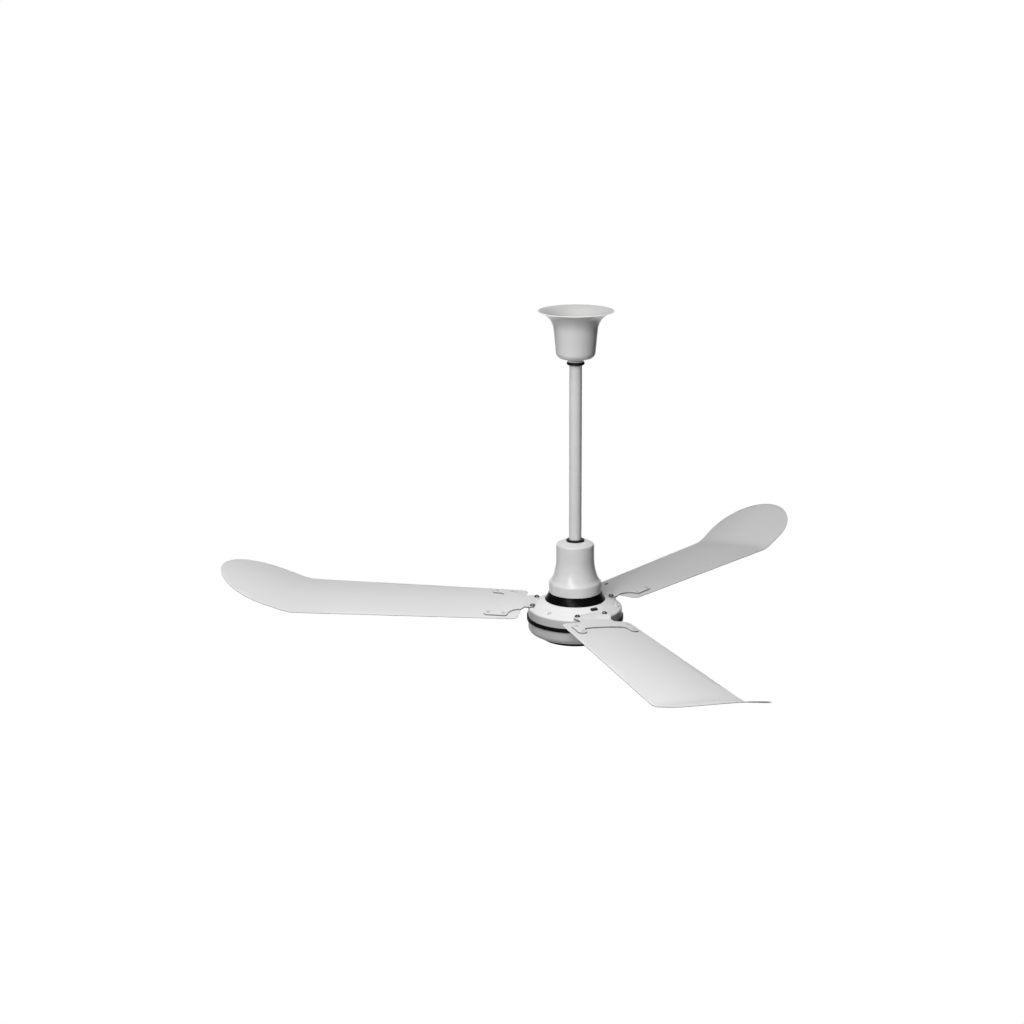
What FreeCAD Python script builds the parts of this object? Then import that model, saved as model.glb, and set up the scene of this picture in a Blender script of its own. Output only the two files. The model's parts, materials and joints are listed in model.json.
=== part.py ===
import FreeCAD, Part
import math
import os
import Sketcher

# Driving dimensions of the ceiling fan, in millimetres, degrees and counts.
# The origin is the axis of the hanger roller, +Z is up, and the motor turns about Z.
SIZES = {
    # fits shared by all pieces
    "fit_gap": 0.02,
    "running_gap": 0.05,
    "hole_gap": 0.15,
    "slide_gap": 0.3,
    # shackle on the ceiling hook
    "roller_radius": 12,
    "roller_groove_width": 18,
    "roller_groove_radius": 14,
    "roller_side_gap": 0.5,
    "plate_width": 26,
    "plate_thickness": 4,
    "hanger_bolt_diameter": 10,
    "hanger_bolt_flats": 17,
    "hanger_head_height": 6.4,
    "hanger_nut_height": 8,
    # rod and the bolts at its ends
    "rod_diameter": 25.4,
    "rod_bore": 20.4,
    "rod_length": 508,
    "rod_top_drop": 32,
    "rod_head_inset": 19,
    "rod_foot_inset": 16,
    "upper_bolt_diameter": 8,
    "upper_bolt_flats": 13,
    "upper_head_height": 5.3,
    "upper_nut_height": 6.5,
    "lower_bolt_diameter": 6,
    "lower_bolt_flats": 10,
    "lower_head_height": 4,
    "lower_nut_height": 5,
    "bolt_tail": 6,
    "split_pin_diameter": 2,
    "split_pin_length": 18,
    "split_pin_eye": 2.2,
    # supply terminals
    "terminal_width": 30,
    "terminal_height": 18,
    "terminal_depth": 12,
    "terminal_pitch": 9,
    "terminal_hole": 4,
    # canopy
    "canopy_rim_rise": 26,
    "canopy_rim_radius": 76,
    "canopy_rim_edge": 1.2,
    "canopy_rim_face": 2,
    "canopy_flare_radius": 41.9,
    "canopy_throat_radius": 43.9,
    "canopy_throat_depth": 37,
    "canopy_foot_radius": 39.6,
    "canopy_foot_round": 14,
    "canopy_height": 96,
    "canopy_wall": 1.5,
    "canopy_neck_radius": 16.5,
    "canopy_neck_height": 6.5,
    "canopy_ring_radius": 17.8,
    "canopy_ring_height": 5.5,
    "canopy_ring_round": 2,
    # motor cover
    "cover_foot_radius": 53.5,
    "cover_foot_height": 18,
    "cover_shoulder_radius": 8,
    "cover_flare_angle": 34,
    "cover_neck_radius": 38.7,
    "cover_top_round": 3.5,
    "cover_crown_radius": 26,
    "cover_crown_height": 4.8,
    "cover_height": 106.5,
    "cover_wall": 1.5,
    "seal_radius": 18.5,
    "seal_height": 4,
    "seal_round": 2,
    # base ring under the motor cover
    "ring_seat_height": 34.5,
    "ring_skirt_height": 15.7,
    "ring_skirt_radius": 62,
    "ring_skirt_curve": 40,
    "ring_wall": 3,
    "ring_seat_lap": 0.5,
    "ring_lip_height": 3,
    "ring_web_height": 29,
    "ring_web_thickness": 4,
    # fixed shaft and what is stacked on it
    "collar_top": 47,
    "collar_radius": 18,
    "shaft_radius": 10,
    "shaft_bore_radius": 5,
    "shaft_spigot": 73,
    "shaft_lead_hole": 3,
    "shaft_lead_height": 8,
    "spacer_radius": 13.4,
    "seat_radius": 15,
    "seat_collar": 6,
    "lower_journal_radius": 8.5,
    "journal_shoulder_radius": 11,
    "journal_shoulder_height": 2,
    "upper_bearing_foot": 11,
    "upper_bearing_width": 14,
    "upper_bearing_radius": 23.5,
    "upper_ball_radius": 3.97,
    "lower_bearing_drop": 37.5,
    "lower_bearing_width": 12,
    "lower_bearing_radius": 20,
    "lower_ball_radius": 3.37,
    "bearing_land": 2.6,
    "ball_count": 8,
    # capacitor in the motor cover
    "capacitor_foot": 72,
    "capacitor_height": 38,
    "capacitor_depth": 18,
    "capacitor_width": 26,
    "capacitor_round": 3,
    "clip_thickness": 1.5,
    "clip_height": 14,
    "clip_rise": 12,
    # stator and rotor
    "stack_drop": 7,
    "stack_height": 29.5,
    "stator_radius": 66,
    "air_gap": 0.5,
    "slot_count": 16,
    "slot_pitch_radius": 54,
    "slot_radius": 4.6,
    "winding_width": 18,
    "winding_height": 9.5,
    "cage_bar_count": 24,
    "cage_pitch_radius": 71.5,
    "cage_bar_radius": 2,
    "cage_ring_width": 9,
    "cage_ring_height": 6,
    # motor housing; heights are from the motor's rim plane
    "housing_radius": 96.2,
    "housing_wall": 3.5,
    "rim_drop": 1.3,
    "rim_inset": 2.7,
    "rim_rise": 3.2,
    "rim_round": 5,
    "dome_top_radius": 62,
    "dome_top_height": 18.3,
    "upper_wall_drop": 16,
    "band_height": 7.5,
    "band_radius": 99,
    "lower_wall_height": 15.5,
    "lower_round": 12,
    "bearing_boss_wall": 4,
    "bearing_lip": 2,
    "bearing_lip_radius": 17,
    "bearing_skirt": 3,
    "floor_hole_radius": 12.5,
    "housing_screw_circle": 84,
    "housing_screw_radius": 2,
    "housing_boss_radius": 6,
    "housing_boss_height": 8,
    "cap_radius": 71,
    "cap_thickness": 10.6,
    "cap_round": 2.2,
    "cap_screw_circle": 60,
    "cap_screw_radius": 1.5,
    "cap_screw_depth": 3,
    "screw_head_ratio": 1.84,
    "screw_head_height": 4.4,
    # blade irons
    "blade_count": 3,
    "blade_phase": 52.4,
    "iron_seat_height": 5.5,
    "iron_thickness": 3,
    "iron_inner_radius": 79,
    "iron_tongue_half": 38.5,
    "iron_corner": 10,
    "iron_tongue_end": 95,
    "iron_notch_radius": 24,
    "iron_fork_start": 131,
    "iron_fork_half": 64,
    "iron_fork_corner": 7,
    "iron_fork_shoulder": 3,
    "iron_prong_end": 181,
    "iron_prong_width": 18,
    "iron_web_end": 154,
    "iron_web_round": 12,
    "iron_bend_start": 98,
    "iron_bend_end": 107.5,
    "iron_screw_u": 84,
    "iron_screw_v": 29.5,
    "iron_screw_radius": 3,
    "iron_screw_depth": 12,
    "seat_side_gap": 0.5,
    # blades
    "blade_tip_radius": 748,
    "blade_root_radius": 108,
    "blade_root_half": 73.5,
    "blade_root_corner": 14,
    "blade_fold_radius": 584,
    "blade_tip_half": 92.5,
    "blade_tip_length": 105,
    "blade_offset": -1.5,
    "blade_camber_radius": 700,
    "blade_thickness": 1.2,
    "blade_crest_height": 3.1,
    "blade_pitch": 5.5,
    "blade_fold_angle": 19,
    "blade_bend_radius": 90,
    "blade_margin": 20,
    "rivet_radius": 2,
    "rivet_head_radius": 4.5,
    "rivet_head_height": 1.6,
    "rivet_hole_gap": 0.5,
    "rivet_inner_u": 140,
    "rivet_outer_u": 172,
    "rivet_v": 55,
    # balance weight on the dome beside the last blade
    "weight_length": 15,
    "weight_width": 6.5,
    "weight_thickness": 3,
    "weight_corner": 1.5,
    "weight_radius": 71.5,
    "weight_lead": 9.5,
}

doc = FreeCAD.newDocument("ceiling_fan")
sheet = doc.addObject("Spreadsheet::Sheet", "Dims")
for row, (name, value) in enumerate(SIZES.items(), start=1):
    sheet.set(f"A{row}", name)
    sheet.set(f"B{row}", str(value))
    sheet.setAlias(f"B{row}", name)
doc.recompute()


class Size:
    """A dimension: its value now, and the sheet expression that keeps it bound."""

    def __init__(self, value, text):
        self.value = value
        self.text = text

    def __add__(self, other):
        return Size(self.value + number(other), f"({self.text} + {words(other)})")

    def __sub__(self, other):
        return Size(self.value - number(other), f"({self.text} - {words(other)})")

    def __mul__(self, other):
        return Size(self.value * number(other), f"({self.text} * {words(other)})")

    def __truediv__(self, other):
        return Size(self.value / number(other), f"({self.text} / {words(other)})")

    def __rsub__(self, other):
        return Size(other - self.value, f"({words(other)} - {self.text})")

    def __neg__(self):
        return Size(-self.value, f"(-{self.text})")


def number(size):
    return size.value if isinstance(size, Size) else size


def words(size):
    return size.text if isinstance(size, Size) else repr(float(size))


def dim(alias):
    return Size(float(sheet.get(alias)), f"Dims.{alias}")


def cos(angle):
    return Size(math.cos(math.radians(angle.value)), f"cos({angle.text})")


def sin(angle):
    return Size(math.sin(math.radians(angle.value)), f"sin({angle.text})")


def root(size):
    return Size(math.sqrt(size.value), f"sqrt({size.text})")


def bind(item, path, size):
    """Set a property from a size, and keep it bound where the size comes from the sheet."""
    if isinstance(size, Size):
        item.setExpression(path, size.text)
    else:
        setattr(item, path, size)


def place(item, x=0, y=0, z=0, turn=FreeCAD.Rotation()):
    """Put a piece at a point given by sizes, turned by a rotation."""
    item.Placement = FreeCAD.Placement(FreeCAD.Vector(number(x), number(y), number(z)), turn)
    for axis, size in (("x", x), ("y", y), ("z", z)):
        if isinstance(size, Size):
            item.setExpression(f"Placement.Base.{axis}", size.text)


def new_body(label):
    body = doc.addObject("PartDesign::Body", label)
    body.Label = label
    return body


def origin_part(body, role):
    return next(item for item in body.Origin.OriginFeatures if item.Role == role)


def new_sketch(body, role, lift=0):
    """A sketch on one of the body's own planes, lifted along the plane's normal."""
    sketch = body.newObject("Sketcher::SketchObject", f"{body.Label}_sketch")
    sketch.AttachmentSupport = [(origin_part(body, role), "")]
    sketch.MapMode = "FlatFace"
    sketch.AttachmentOffset = FreeCAD.Placement(FreeCAD.Vector(0, 0, number(lift)), FreeCAD.Rotation())
    if isinstance(lift, Size):
        sketch.setExpression("AttachmentOffset.Base.z", lift.text)
    return sketch


def set_size(sketch, constraint, size):
    index = sketch.addConstraint(constraint)
    if isinstance(size, Size):
        sketch.setExpression(f"Constraints[{index}]", size.text)


def pin_point(sketch, edge, end, x, y):
    """Hold one end of an edge at a point measured from the sketch's origin."""
    for kind, size in (("DistanceX", x), ("DistanceY", y)):
        set_size(sketch, Sketcher.Constraint(kind, -1, 1, edge, end, number(size)), size)


def arc_between(start, end, radius, turn):
    """The lesser arc from start to end: turn is +1 to the left of the way and -1 to the right."""
    chord = end - start
    left = FreeCAD.Vector(-chord.y, chord.x, 0).normalize()
    rise = math.sqrt(max(radius ** 2 - (chord.Length / 2) ** 2, 0))
    centre = (start + end) / 2 + left * (rise * turn)
    ends = (start, end) if turn > 0 else (end, start)
    angles = [math.atan2(point.y - centre.y, point.x - centre.x) for point in ends]
    return Part.ArcOfCircle(Part.Circle(centre, FreeCAD.Vector(0, 0, 1), radius), *angles)


def outline(sketch, corners, closed=True):
    """Lines and arcs through the corners. A corner is (x, y), or (x, y, radius, turn) before an arc."""
    points = [FreeCAD.Vector(number(corner[0]), number(corner[1]), 0) for corner in corners]
    count = len(corners) if closed else len(corners) - 1
    first = sketch.GeometryCount
    ends = []
    for index in range(count):
        start = points[index]
        end = points[(index + 1) % len(points)]
        if len(corners[index]) == 2:
            sketch.addGeometry(Part.LineSegment(start, end), False)
            ends.append((1, 2))
        else:
            radius, turn = corners[index][2:]
            sketch.addGeometry(arc_between(start, end, number(radius), turn), False)
            ends.append((1, 2) if turn > 0 else (2, 1))
    for index in range(count if closed else count - 1):
        following = (index + 1) % count
        sketch.addConstraint(Sketcher.Constraint(
            "Coincident", first + index, ends[index][1], first + following, ends[following][0]))
    for index in range(count):
        corner = corners[index]
        pin_point(sketch, first + index, ends[index][0], corner[0], corner[1])
        if len(corner) > 2:
            radius = corner[2]
            set_size(sketch, Sketcher.Constraint("Radius", first + index, number(radius)), radius)
    if not closed:
        pin_point(sketch, first + count - 1, ends[-1][1], corners[-1][0], corners[-1][1])


def circle(sketch, x, y, radius):
    centre = FreeCAD.Vector(number(x), number(y), 0)
    edge = sketch.addGeometry(Part.Circle(centre, FreeCAD.Vector(0, 0, 1), number(radius)), False)
    pin_point(sketch, edge, 3, x, y)
    set_size(sketch, Sketcher.Constraint("Radius", edge, number(radius)), radius)


def revolve(body, corners, axis="V_Axis"):
    """Turn a profile about Z, or about X where the axis is H_Axis."""
    sketch = new_sketch(body, "XZ_Plane")
    outline(sketch, corners)
    solid = body.newObject("PartDesign::Revolution", f"{body.Label}_turned")
    solid.Profile = (sketch, [""])
    solid.ReferenceAxis = (sketch, [axis])
    solid.Angle = 360
    return solid


def turned(label, corners, axis="V_Axis"):
    body = new_body(label)
    revolve(body, corners, axis)
    return body


def pad(body, sketch, length):
    solid = body.newObject("PartDesign::Pad", f"{body.Label}_pad")
    solid.Profile = (sketch, [""])
    bind(solid, "Length", length)
    return solid


def pocket(body, sketch, length, upward=False):
    """Cut a sketch to a depth, downwards or upwards along the sketch's normal."""
    cut = body.newObject("PartDesign::Pocket", f"{body.Label}_pocket")
    cut.Profile = (sketch, [""])
    cut.Reversed = upward
    bind(cut, "Length", length)
    return cut


def pocket_through(body, sketch):
    cut = body.newObject("PartDesign::Pocket", f"{body.Label}_pocket")
    cut.Profile = (sketch, [""])
    cut.Type = "ThroughAll"
    cut.SideType = "Symmetric"
    return cut


def repeat(body, features, count):
    """Repeat features evenly about Z."""
    pattern = body.newObject("PartDesign::PolarPattern", f"{body.Label}_repeat")
    pattern.Originals = features
    pattern.Axis = (origin_part(body, "Z_Axis"), [""])
    pattern.Angle = 360
    bind(pattern, "Occurrences", count)
    body.Tip = pattern
    return pattern


def hole(body, role, x, y, radius):
    """A round hole right through the body, square to one of its planes."""
    sketch = new_sketch(body, role)
    circle(sketch, x, y, radius)
    return pocket_through(body, sketch)


def box_corners(x_low, x_high, y_low, y_high):
    return [(x_low, y_low), (x_high, y_low), (x_high, y_high), (x_low, y_high)]


def rounded_box(x_low, x_high, y_low, y_high, radius):
    return [
        (x_low + radius, y_low),
        (x_high - radius, y_low, radius, 1),
        (x_high, y_low + radius),
        (x_high, y_high - radius, radius, 1),
        (x_high - radius, y_high),
        (x_low + radius, y_high, radius, 1),
        (x_low, y_high - radius),
        (x_low, y_low + radius, radius, 1),
    ]


def group(label, master, placements):
    """One node of identical pieces: copies of a master at the given placements."""
    node = doc.addObject("Part::Feature", label)
    node.Label = label
    doc.recompute()
    copies = []
    for placement in placements:
        copy = master.Shape.copy()
        copy.Placement = placement.multiply(master.Shape.Placement)
        copies.append(copy)
    node.Shape = Part.makeCompound(copies)
    return node


# Heights of the main stations, down from the roller's axis.
rod_radius = dim("rod_diameter") / 2
rod_bore_radius = dim("rod_bore") / 2
rod_foot_z = -(dim("rod_top_drop") + dim("rod_length"))
upper_bolt_z = -(dim("rod_top_drop") + dim("rod_head_inset"))
lower_bolt_z = rod_foot_z + dim("rod_foot_inset")
motor_z = rod_foot_z - dim("collar_top")
plate_face = rod_radius + dim("running_gap")
plate_outside = plate_face + dim("plate_thickness")

fit_gap = dim("fit_gap")
running_gap = dim("running_gap")
hole_gap = dim("hole_gap")
slide_gap = dim("slide_gap")
Z_AXIS = FreeCAD.Vector(0, 0, 1)
TO_MINUS_X = FreeCAD.Rotation(FreeCAD.Vector(0, 1, 0), -90)
blade_count = int(dim("blade_count").value)
blade_step = 360 / blade_count
rotor_turn = FreeCAD.Rotation(Z_AXIS, dim("blade_phase").value)
nodes = []

# Shackle: a grooved roller on a bolt between two side plates, which the upper bolt holds to the rod.
hanger_bolt_radius = dim("hanger_bolt_diameter") / 2
roller_half = plate_face - dim("roller_side_gap")
groove_half = dim("roller_groove_width") / 2
roller_bore = hanger_bolt_radius + running_gap
roller = turned("hanger_roller", [
    (-roller_half, roller_bore),
    (roller_half, roller_bore),
    (roller_half, dim("roller_radius")),
    (groove_half, dim("roller_radius"), dim("roller_groove_radius"), -1),
    (-groove_half, dim("roller_radius")),
    (-roller_half, dim("roller_radius")),
], axis="H_Axis")
nodes.append(roller)

upper_bolt_radius = dim("upper_bolt_diameter") / 2
plate_half = dim("plate_width") / 2
for label, inner_face in (("hanger_plate_left", -plate_outside), ("hanger_plate_right", plate_face)):
    plate = new_body(label)
    profile = new_sketch(plate, "YZ_Plane", inner_face)
    outline(profile, [
        (plate_half, upper_bolt_z),
        (plate_half, 0, plate_half, 1),
        (0, plate_half, plate_half, 1),
        (-plate_half, 0),
        (-plate_half, upper_bolt_z, plate_half, 1),
        (0, upper_bolt_z - plate_half, plate_half, 1),
    ])
    pad(plate, profile, dim("plate_thickness"))
    hole(plate, "YZ_Plane", 0, 0, hanger_bolt_radius + hole_gap)
    hole(plate, "YZ_Plane", 0, upper_bolt_z, upper_bolt_radius + hole_gap)
    nodes.append(plate)


def hexagon(sketch, flats):
    half = flats / 2
    reach = flats / math.sqrt(3)
    outline(sketch, [(reach, 0), (reach / 2, half), (-reach / 2, half), (-reach, 0),
                     (-reach / 2, -half), (reach / 2, -half)])


def hex_bolt(label, radius, flats, head_height, length, pin_reach):
    """A hexagon bolt from under its head at z 0, with a hole for a split pin across its tail."""
    bolt = new_body(label)
    shank = new_sketch(bolt, "XY_Plane")
    circle(shank, 0, 0, radius)
    pad(bolt, shank, length)
    head = new_sketch(bolt, "XY_Plane", -head_height)
    hexagon(head, flats)
    pad(bolt, head, head_height)
    hole(bolt, "XZ_Plane", 0, pin_reach, dim("split_pin_diameter") / 2 + fit_gap)
    nodes.append(bolt)
    return bolt


def hex_nut(label, radius, flats, height):
    nut = new_body(label)
    blank = new_sketch(nut, "XY_Plane")
    hexagon(blank, flats)
    circle(blank, 0, 0, radius + fit_gap)
    pad(nut, blank, height)
    nodes.append(nut)
    return nut


# Each bolt lies along X with its head at +X, and a split pin locks its nut.
pin_places = []
for prefix, half_grip, bolt_z in (
    ("hanger", plate_outside, 0),
    ("upper", plate_outside, upper_bolt_z),
    ("lower", rod_radius + fit_gap, lower_bolt_z),
):
    bolt_radius = dim(f"{prefix}_bolt_diameter") / 2
    flats = dim(f"{prefix}_bolt_flats")
    nut_height = dim(f"{prefix}_nut_height")
    pin_reach = half_grip * 2 + nut_height + dim("bolt_tail") / 2
    bolt_length = half_grip * 2 + nut_height + dim("bolt_tail")
    stem = prefix if prefix == "hanger" else "rod"
    tail = "" if prefix == "hanger" else f"_{prefix}"
    bolt = hex_bolt(f"{stem}_bolt{tail}", bolt_radius, flats, dim(f"{prefix}_head_height"), bolt_length,
                    pin_reach)
    place(bolt, x=half_grip, z=bolt_z, turn=TO_MINUS_X)
    nut = hex_nut(f"{stem}_nut{tail}", bolt_radius, flats, nut_height)
    place(nut, x=-half_grip, z=bolt_z, turn=TO_MINUS_X)
    pin_x = number(half_grip - pin_reach)
    pin_places.append(FreeCAD.Placement(FreeCAD.Vector(pin_x, 0, number(bolt_z)), FreeCAD.Rotation()))

# A split pin: a straight stem along Y with a round eye at one end.
pin_radius = dim("split_pin_diameter") / 2
stem_half = dim("split_pin_length") / 2
eye_radius = dim("split_pin_eye")
pin_stem = doc.addObject("Part::Cylinder", "split_pin_stem")
bind(pin_stem, "Radius", pin_radius)
bind(pin_stem, "Height", dim("split_pin_length"))
place(pin_stem, y=stem_half, turn=FreeCAD.Rotation(FreeCAD.Vector(1, 0, 0), 90))
pin_eye = doc.addObject("Part::Torus", "split_pin_eye")
bind(pin_eye, "Radius1", eye_radius)
bind(pin_eye, "Radius2", pin_radius)
place(pin_eye, y=stem_half + eye_radius, turn=FreeCAD.Rotation(FreeCAD.Vector(0, 1, 0), 90))
split_pin = doc.addObject("Part::Fuse", "split_pin")
split_pin.Base = pin_stem
split_pin.Tool = pin_eye
nodes.append(group("split_pins", split_pin, pin_places))

# Terminal block on the outside of the right-hand plate, between the two bolts.
terminal = new_body("terminal_block")
terminal_half = dim("terminal_width") / 2
terminal_z = upper_bolt_z / 2
terminal_low = terminal_z - dim("terminal_height") / 2
blank = new_sketch(terminal, "YZ_Plane", plate_outside)
outline(blank, box_corners(-terminal_half, terminal_half, terminal_low, terminal_low + dim("terminal_height")))
pad(terminal, blank, dim("terminal_depth"))
entries = new_sketch(terminal, "XY_Plane")
for step in (-1, 0, 1):
    circle(entries, plate_outside + dim("terminal_depth") / 2, dim("terminal_pitch") * step,
           dim("terminal_hole") / 2)
pocket_through(terminal, entries)
nodes.append(terminal)

# Rod: a plain tube, cross-drilled near both ends.
rod = turned("downrod", [
    (rod_bore_radius, 0),
    (rod_radius, 0),
    (rod_radius, dim("rod_length")),
    (rod_bore_radius, dim("rod_length")),
])
lower_bolt_radius = dim("lower_bolt_diameter") / 2
hole(rod, "YZ_Plane", 0, dim("rod_length") - dim("rod_head_inset"), upper_bolt_radius + hole_gap)
hole(rod, "YZ_Plane", 0, dim("rod_foot_inset"), lower_bolt_radius + hole_gap)
place(rod, z=rod_foot_z)
nodes.append(rod)

# Canopy: a spun trumpet, open at the rim, with a short neck round the rod. Depths are below the rim.
rim_radius = dim("canopy_rim_radius")
throat_radius = dim("canopy_throat_radius")
throat_depth = dim("canopy_throat_depth")
foot_radius = dim("canopy_foot_radius")
foot_round = dim("canopy_foot_round")
canopy_height = dim("canopy_height")
canopy_wall = dim("canopy_wall")
neck_radius = dim("canopy_neck_radius")
neck_depth = canopy_height + dim("canopy_neck_height")
rod_hole = rod_radius + slide_gap
canopy = turned("canopy", [
    (rod_hole, -neck_depth),
    (neck_radius, -neck_depth),
    (neck_radius, -canopy_height),
    (foot_radius - foot_round, -canopy_height, foot_round, 1),
    (foot_radius, foot_round - canopy_height),
    (throat_radius, -throat_depth, dim("canopy_flare_radius"), -1),
    (rim_radius, -dim("canopy_rim_edge")),
    (rim_radius, 0),
    (rim_radius - dim("canopy_rim_face"), 0, dim("canopy_flare_radius") + canopy_wall, 1),
    (throat_radius - canopy_wall, -throat_depth),
    (foot_radius - canopy_wall, foot_round - canopy_height, foot_round - canopy_wall, -1),
    (foot_radius - foot_round, canopy_wall - canopy_height),
    (rod_hole, canopy_wall - canopy_height),
])
place(canopy, z=dim("canopy_rim_rise"))
nodes.append(canopy)

ring_radius = dim("canopy_ring_radius")
ring_round = dim("canopy_ring_round")
ring_bore = rod_radius + running_gap
canopy_ring = turned("canopy_ring", [
    (ring_bore, -dim("canopy_ring_height")),
    (ring_radius - ring_round, -dim("canopy_ring_height"), ring_round, 1),
    (ring_radius, ring_round - dim("canopy_ring_height")),
    (ring_radius, -ring_round, ring_round, 1),
    (ring_radius - ring_round, 0),
    (ring_bore, 0),
])
place(canopy_ring, z=dim("canopy_rim_rise") - neck_depth)
nodes.append(canopy_ring)

# Motor cover: a spun bell with a low crown round the rod. Its shoulder and its flare meet on a common tangent.
cover_wall = dim("cover_wall")
cover_foot = dim("cover_foot_radius")
cover_neck = dim("cover_neck_radius")
shoulder_z = dim("cover_foot_height")
shoulder_radius = dim("cover_shoulder_radius")
top_round = dim("cover_top_round")
cover_height = dim("cover_height")
crown_radius = dim("cover_crown_radius")
crown_foot_z = cover_height - dim("cover_crown_height")
flare_cos = cos(dim("cover_flare_angle"))
flare_sin = sin(dim("cover_flare_angle"))
flare_radius = (cover_foot - cover_neck) / (1 - flare_cos) - shoulder_radius
tangent_r = cover_foot - shoulder_radius * (1 - flare_cos)
tangent_z = shoulder_z + shoulder_radius * flare_sin
flare_top_z = tangent_z + flare_radius * flare_sin
cover = turned("motor_cover", [
    (cover_foot, 0),
    (cover_foot, shoulder_z, shoulder_radius, 1),
    (tangent_r, tangent_z, flare_radius, -1),
    (cover_neck, flare_top_z),
    (cover_neck, crown_foot_z - top_round, top_round, 1),
    (cover_neck - top_round, crown_foot_z),
    (crown_radius, cover_height),
    (rod_hole, cover_height),
    (rod_hole, cover_height - cover_wall),
    (crown_radius, cover_height - cover_wall),
    (cover_neck - top_round, crown_foot_z - cover_wall, top_round - cover_wall, -1),
    (cover_neck - cover_wall, crown_foot_z - top_round),
    (cover_neck - cover_wall, flare_top_z, flare_radius + cover_wall, 1),
    (tangent_r - cover_wall * flare_cos, tangent_z - cover_wall * flare_sin,
     shoulder_radius - cover_wall, -1),
    (cover_foot - cover_wall, shoulder_z),
    (cover_foot - cover_wall, 0),
])
cover_z = motor_z + dim("ring_seat_height")
place(cover, z=cover_z)
nodes.append(cover)

seal_radius = dim("seal_radius")
seal_height = dim("seal_height")
seal_round = dim("seal_round")
seal = turned("motor_cover_seal", [
    (ring_bore, 0),
    (seal_radius, 0),
    (seal_radius, seal_height - seal_round, seal_round, 1),
    (seal_radius - seal_round, seal_height),
    (ring_bore, seal_height),
])
place(seal, z=cover_z + cover_height)
nodes.append(seal)

# Base ring: a flared skirt, a seat and lip for the bell, and a web clamped on the shaft.
shaft_fit = dim("shaft_radius") + fit_gap
seat_z = dim("ring_seat_height")
skirt_z = seat_z - dim("ring_skirt_height")
skirt_radius = dim("ring_skirt_radius")
seat_radius = cover_foot + dim("ring_seat_lap")
ring_wall = dim("ring_wall")
lip_radius = cover_foot - cover_wall - slide_gap
web_z = dim("ring_web_height")
web_top_z = web_z + dim("ring_web_thickness")
base_ring = turned("base_ring", [
    (shaft_fit, web_z),
    (lip_radius - ring_wall, web_z),
    (skirt_radius - ring_wall, skirt_z),
    (skirt_radius, skirt_z, dim("ring_skirt_curve"), -1),
    (seat_radius, seat_z),
    (lip_radius, seat_z),
    (lip_radius, seat_z + dim("ring_lip_height")),
    (lip_radius - ring_wall, seat_z + dim("ring_lip_height")),
    (lip_radius - ring_wall, web_top_z),
    (shaft_fit, web_top_z),
])
place(base_ring, z=motor_z)
nodes.append(base_ring)

# Fixed hollow shaft: lower journal, shoulder, stator seat, then one diameter up into the rod.
bearing_foot = dim("upper_bearing_foot")
lower_bearing_z = -dim("lower_bearing_drop")
shaft_foot_z = lower_bearing_z - dim("lower_bearing_width")
seat_foot_z = lower_bearing_z + dim("journal_shoulder_height")
seat_top_z = bearing_foot - dim("seat_collar")
shaft_top_z = dim("collar_top") + dim("shaft_spigot")
lead_z = dim("shaft_lead_height")
bore_foot_z = lead_z - dim("shaft_lead_hole") * 2
stator_seat = dim("seat_radius")
shaft = turned("motor_shaft", [
    (0, shaft_foot_z),
    (dim("lower_journal_radius"), shaft_foot_z),
    (dim("lower_journal_radius"), lower_bearing_z),
    (dim("journal_shoulder_radius"), lower_bearing_z),
    (dim("journal_shoulder_radius"), seat_foot_z),
    (stator_seat, seat_foot_z),
    (stator_seat, seat_top_z),
    (dim("spacer_radius"), seat_top_z),
    (dim("spacer_radius"), bearing_foot),
    (dim("shaft_radius"), bearing_foot),
    (dim("shaft_radius"), shaft_top_z),
    (dim("shaft_bore_radius"), shaft_top_z),
    (dim("shaft_bore_radius"), bore_foot_z),
    (0, bore_foot_z),
])
hole(shaft, "YZ_Plane", 0, lead_z, dim("shaft_lead_hole"))
hole(shaft, "YZ_Plane", 0, dim("collar_top") + dim("rod_foot_inset"), lower_bolt_radius + hole_gap)
place(shaft, z=motor_z)
nodes.append(shaft)

collar = turned("shaft_collar", [
    (shaft_fit, web_top_z),
    (dim("collar_radius"), web_top_z),
    (dim("collar_radius"), dim("collar_top")),
    (shaft_fit, dim("collar_top")),
])
place(collar, z=motor_z)
nodes.append(collar)

spacer_foot_z = bearing_foot + dim("upper_bearing_width")
spacer = turned("bearing_spacer", [
    (shaft_fit, spacer_foot_z),
    (dim("spacer_radius"), spacer_foot_z),
    (dim("spacer_radius"), web_z),
    (shaft_fit, web_z),
])
place(spacer, z=motor_z)
nodes.append(spacer)


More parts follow.
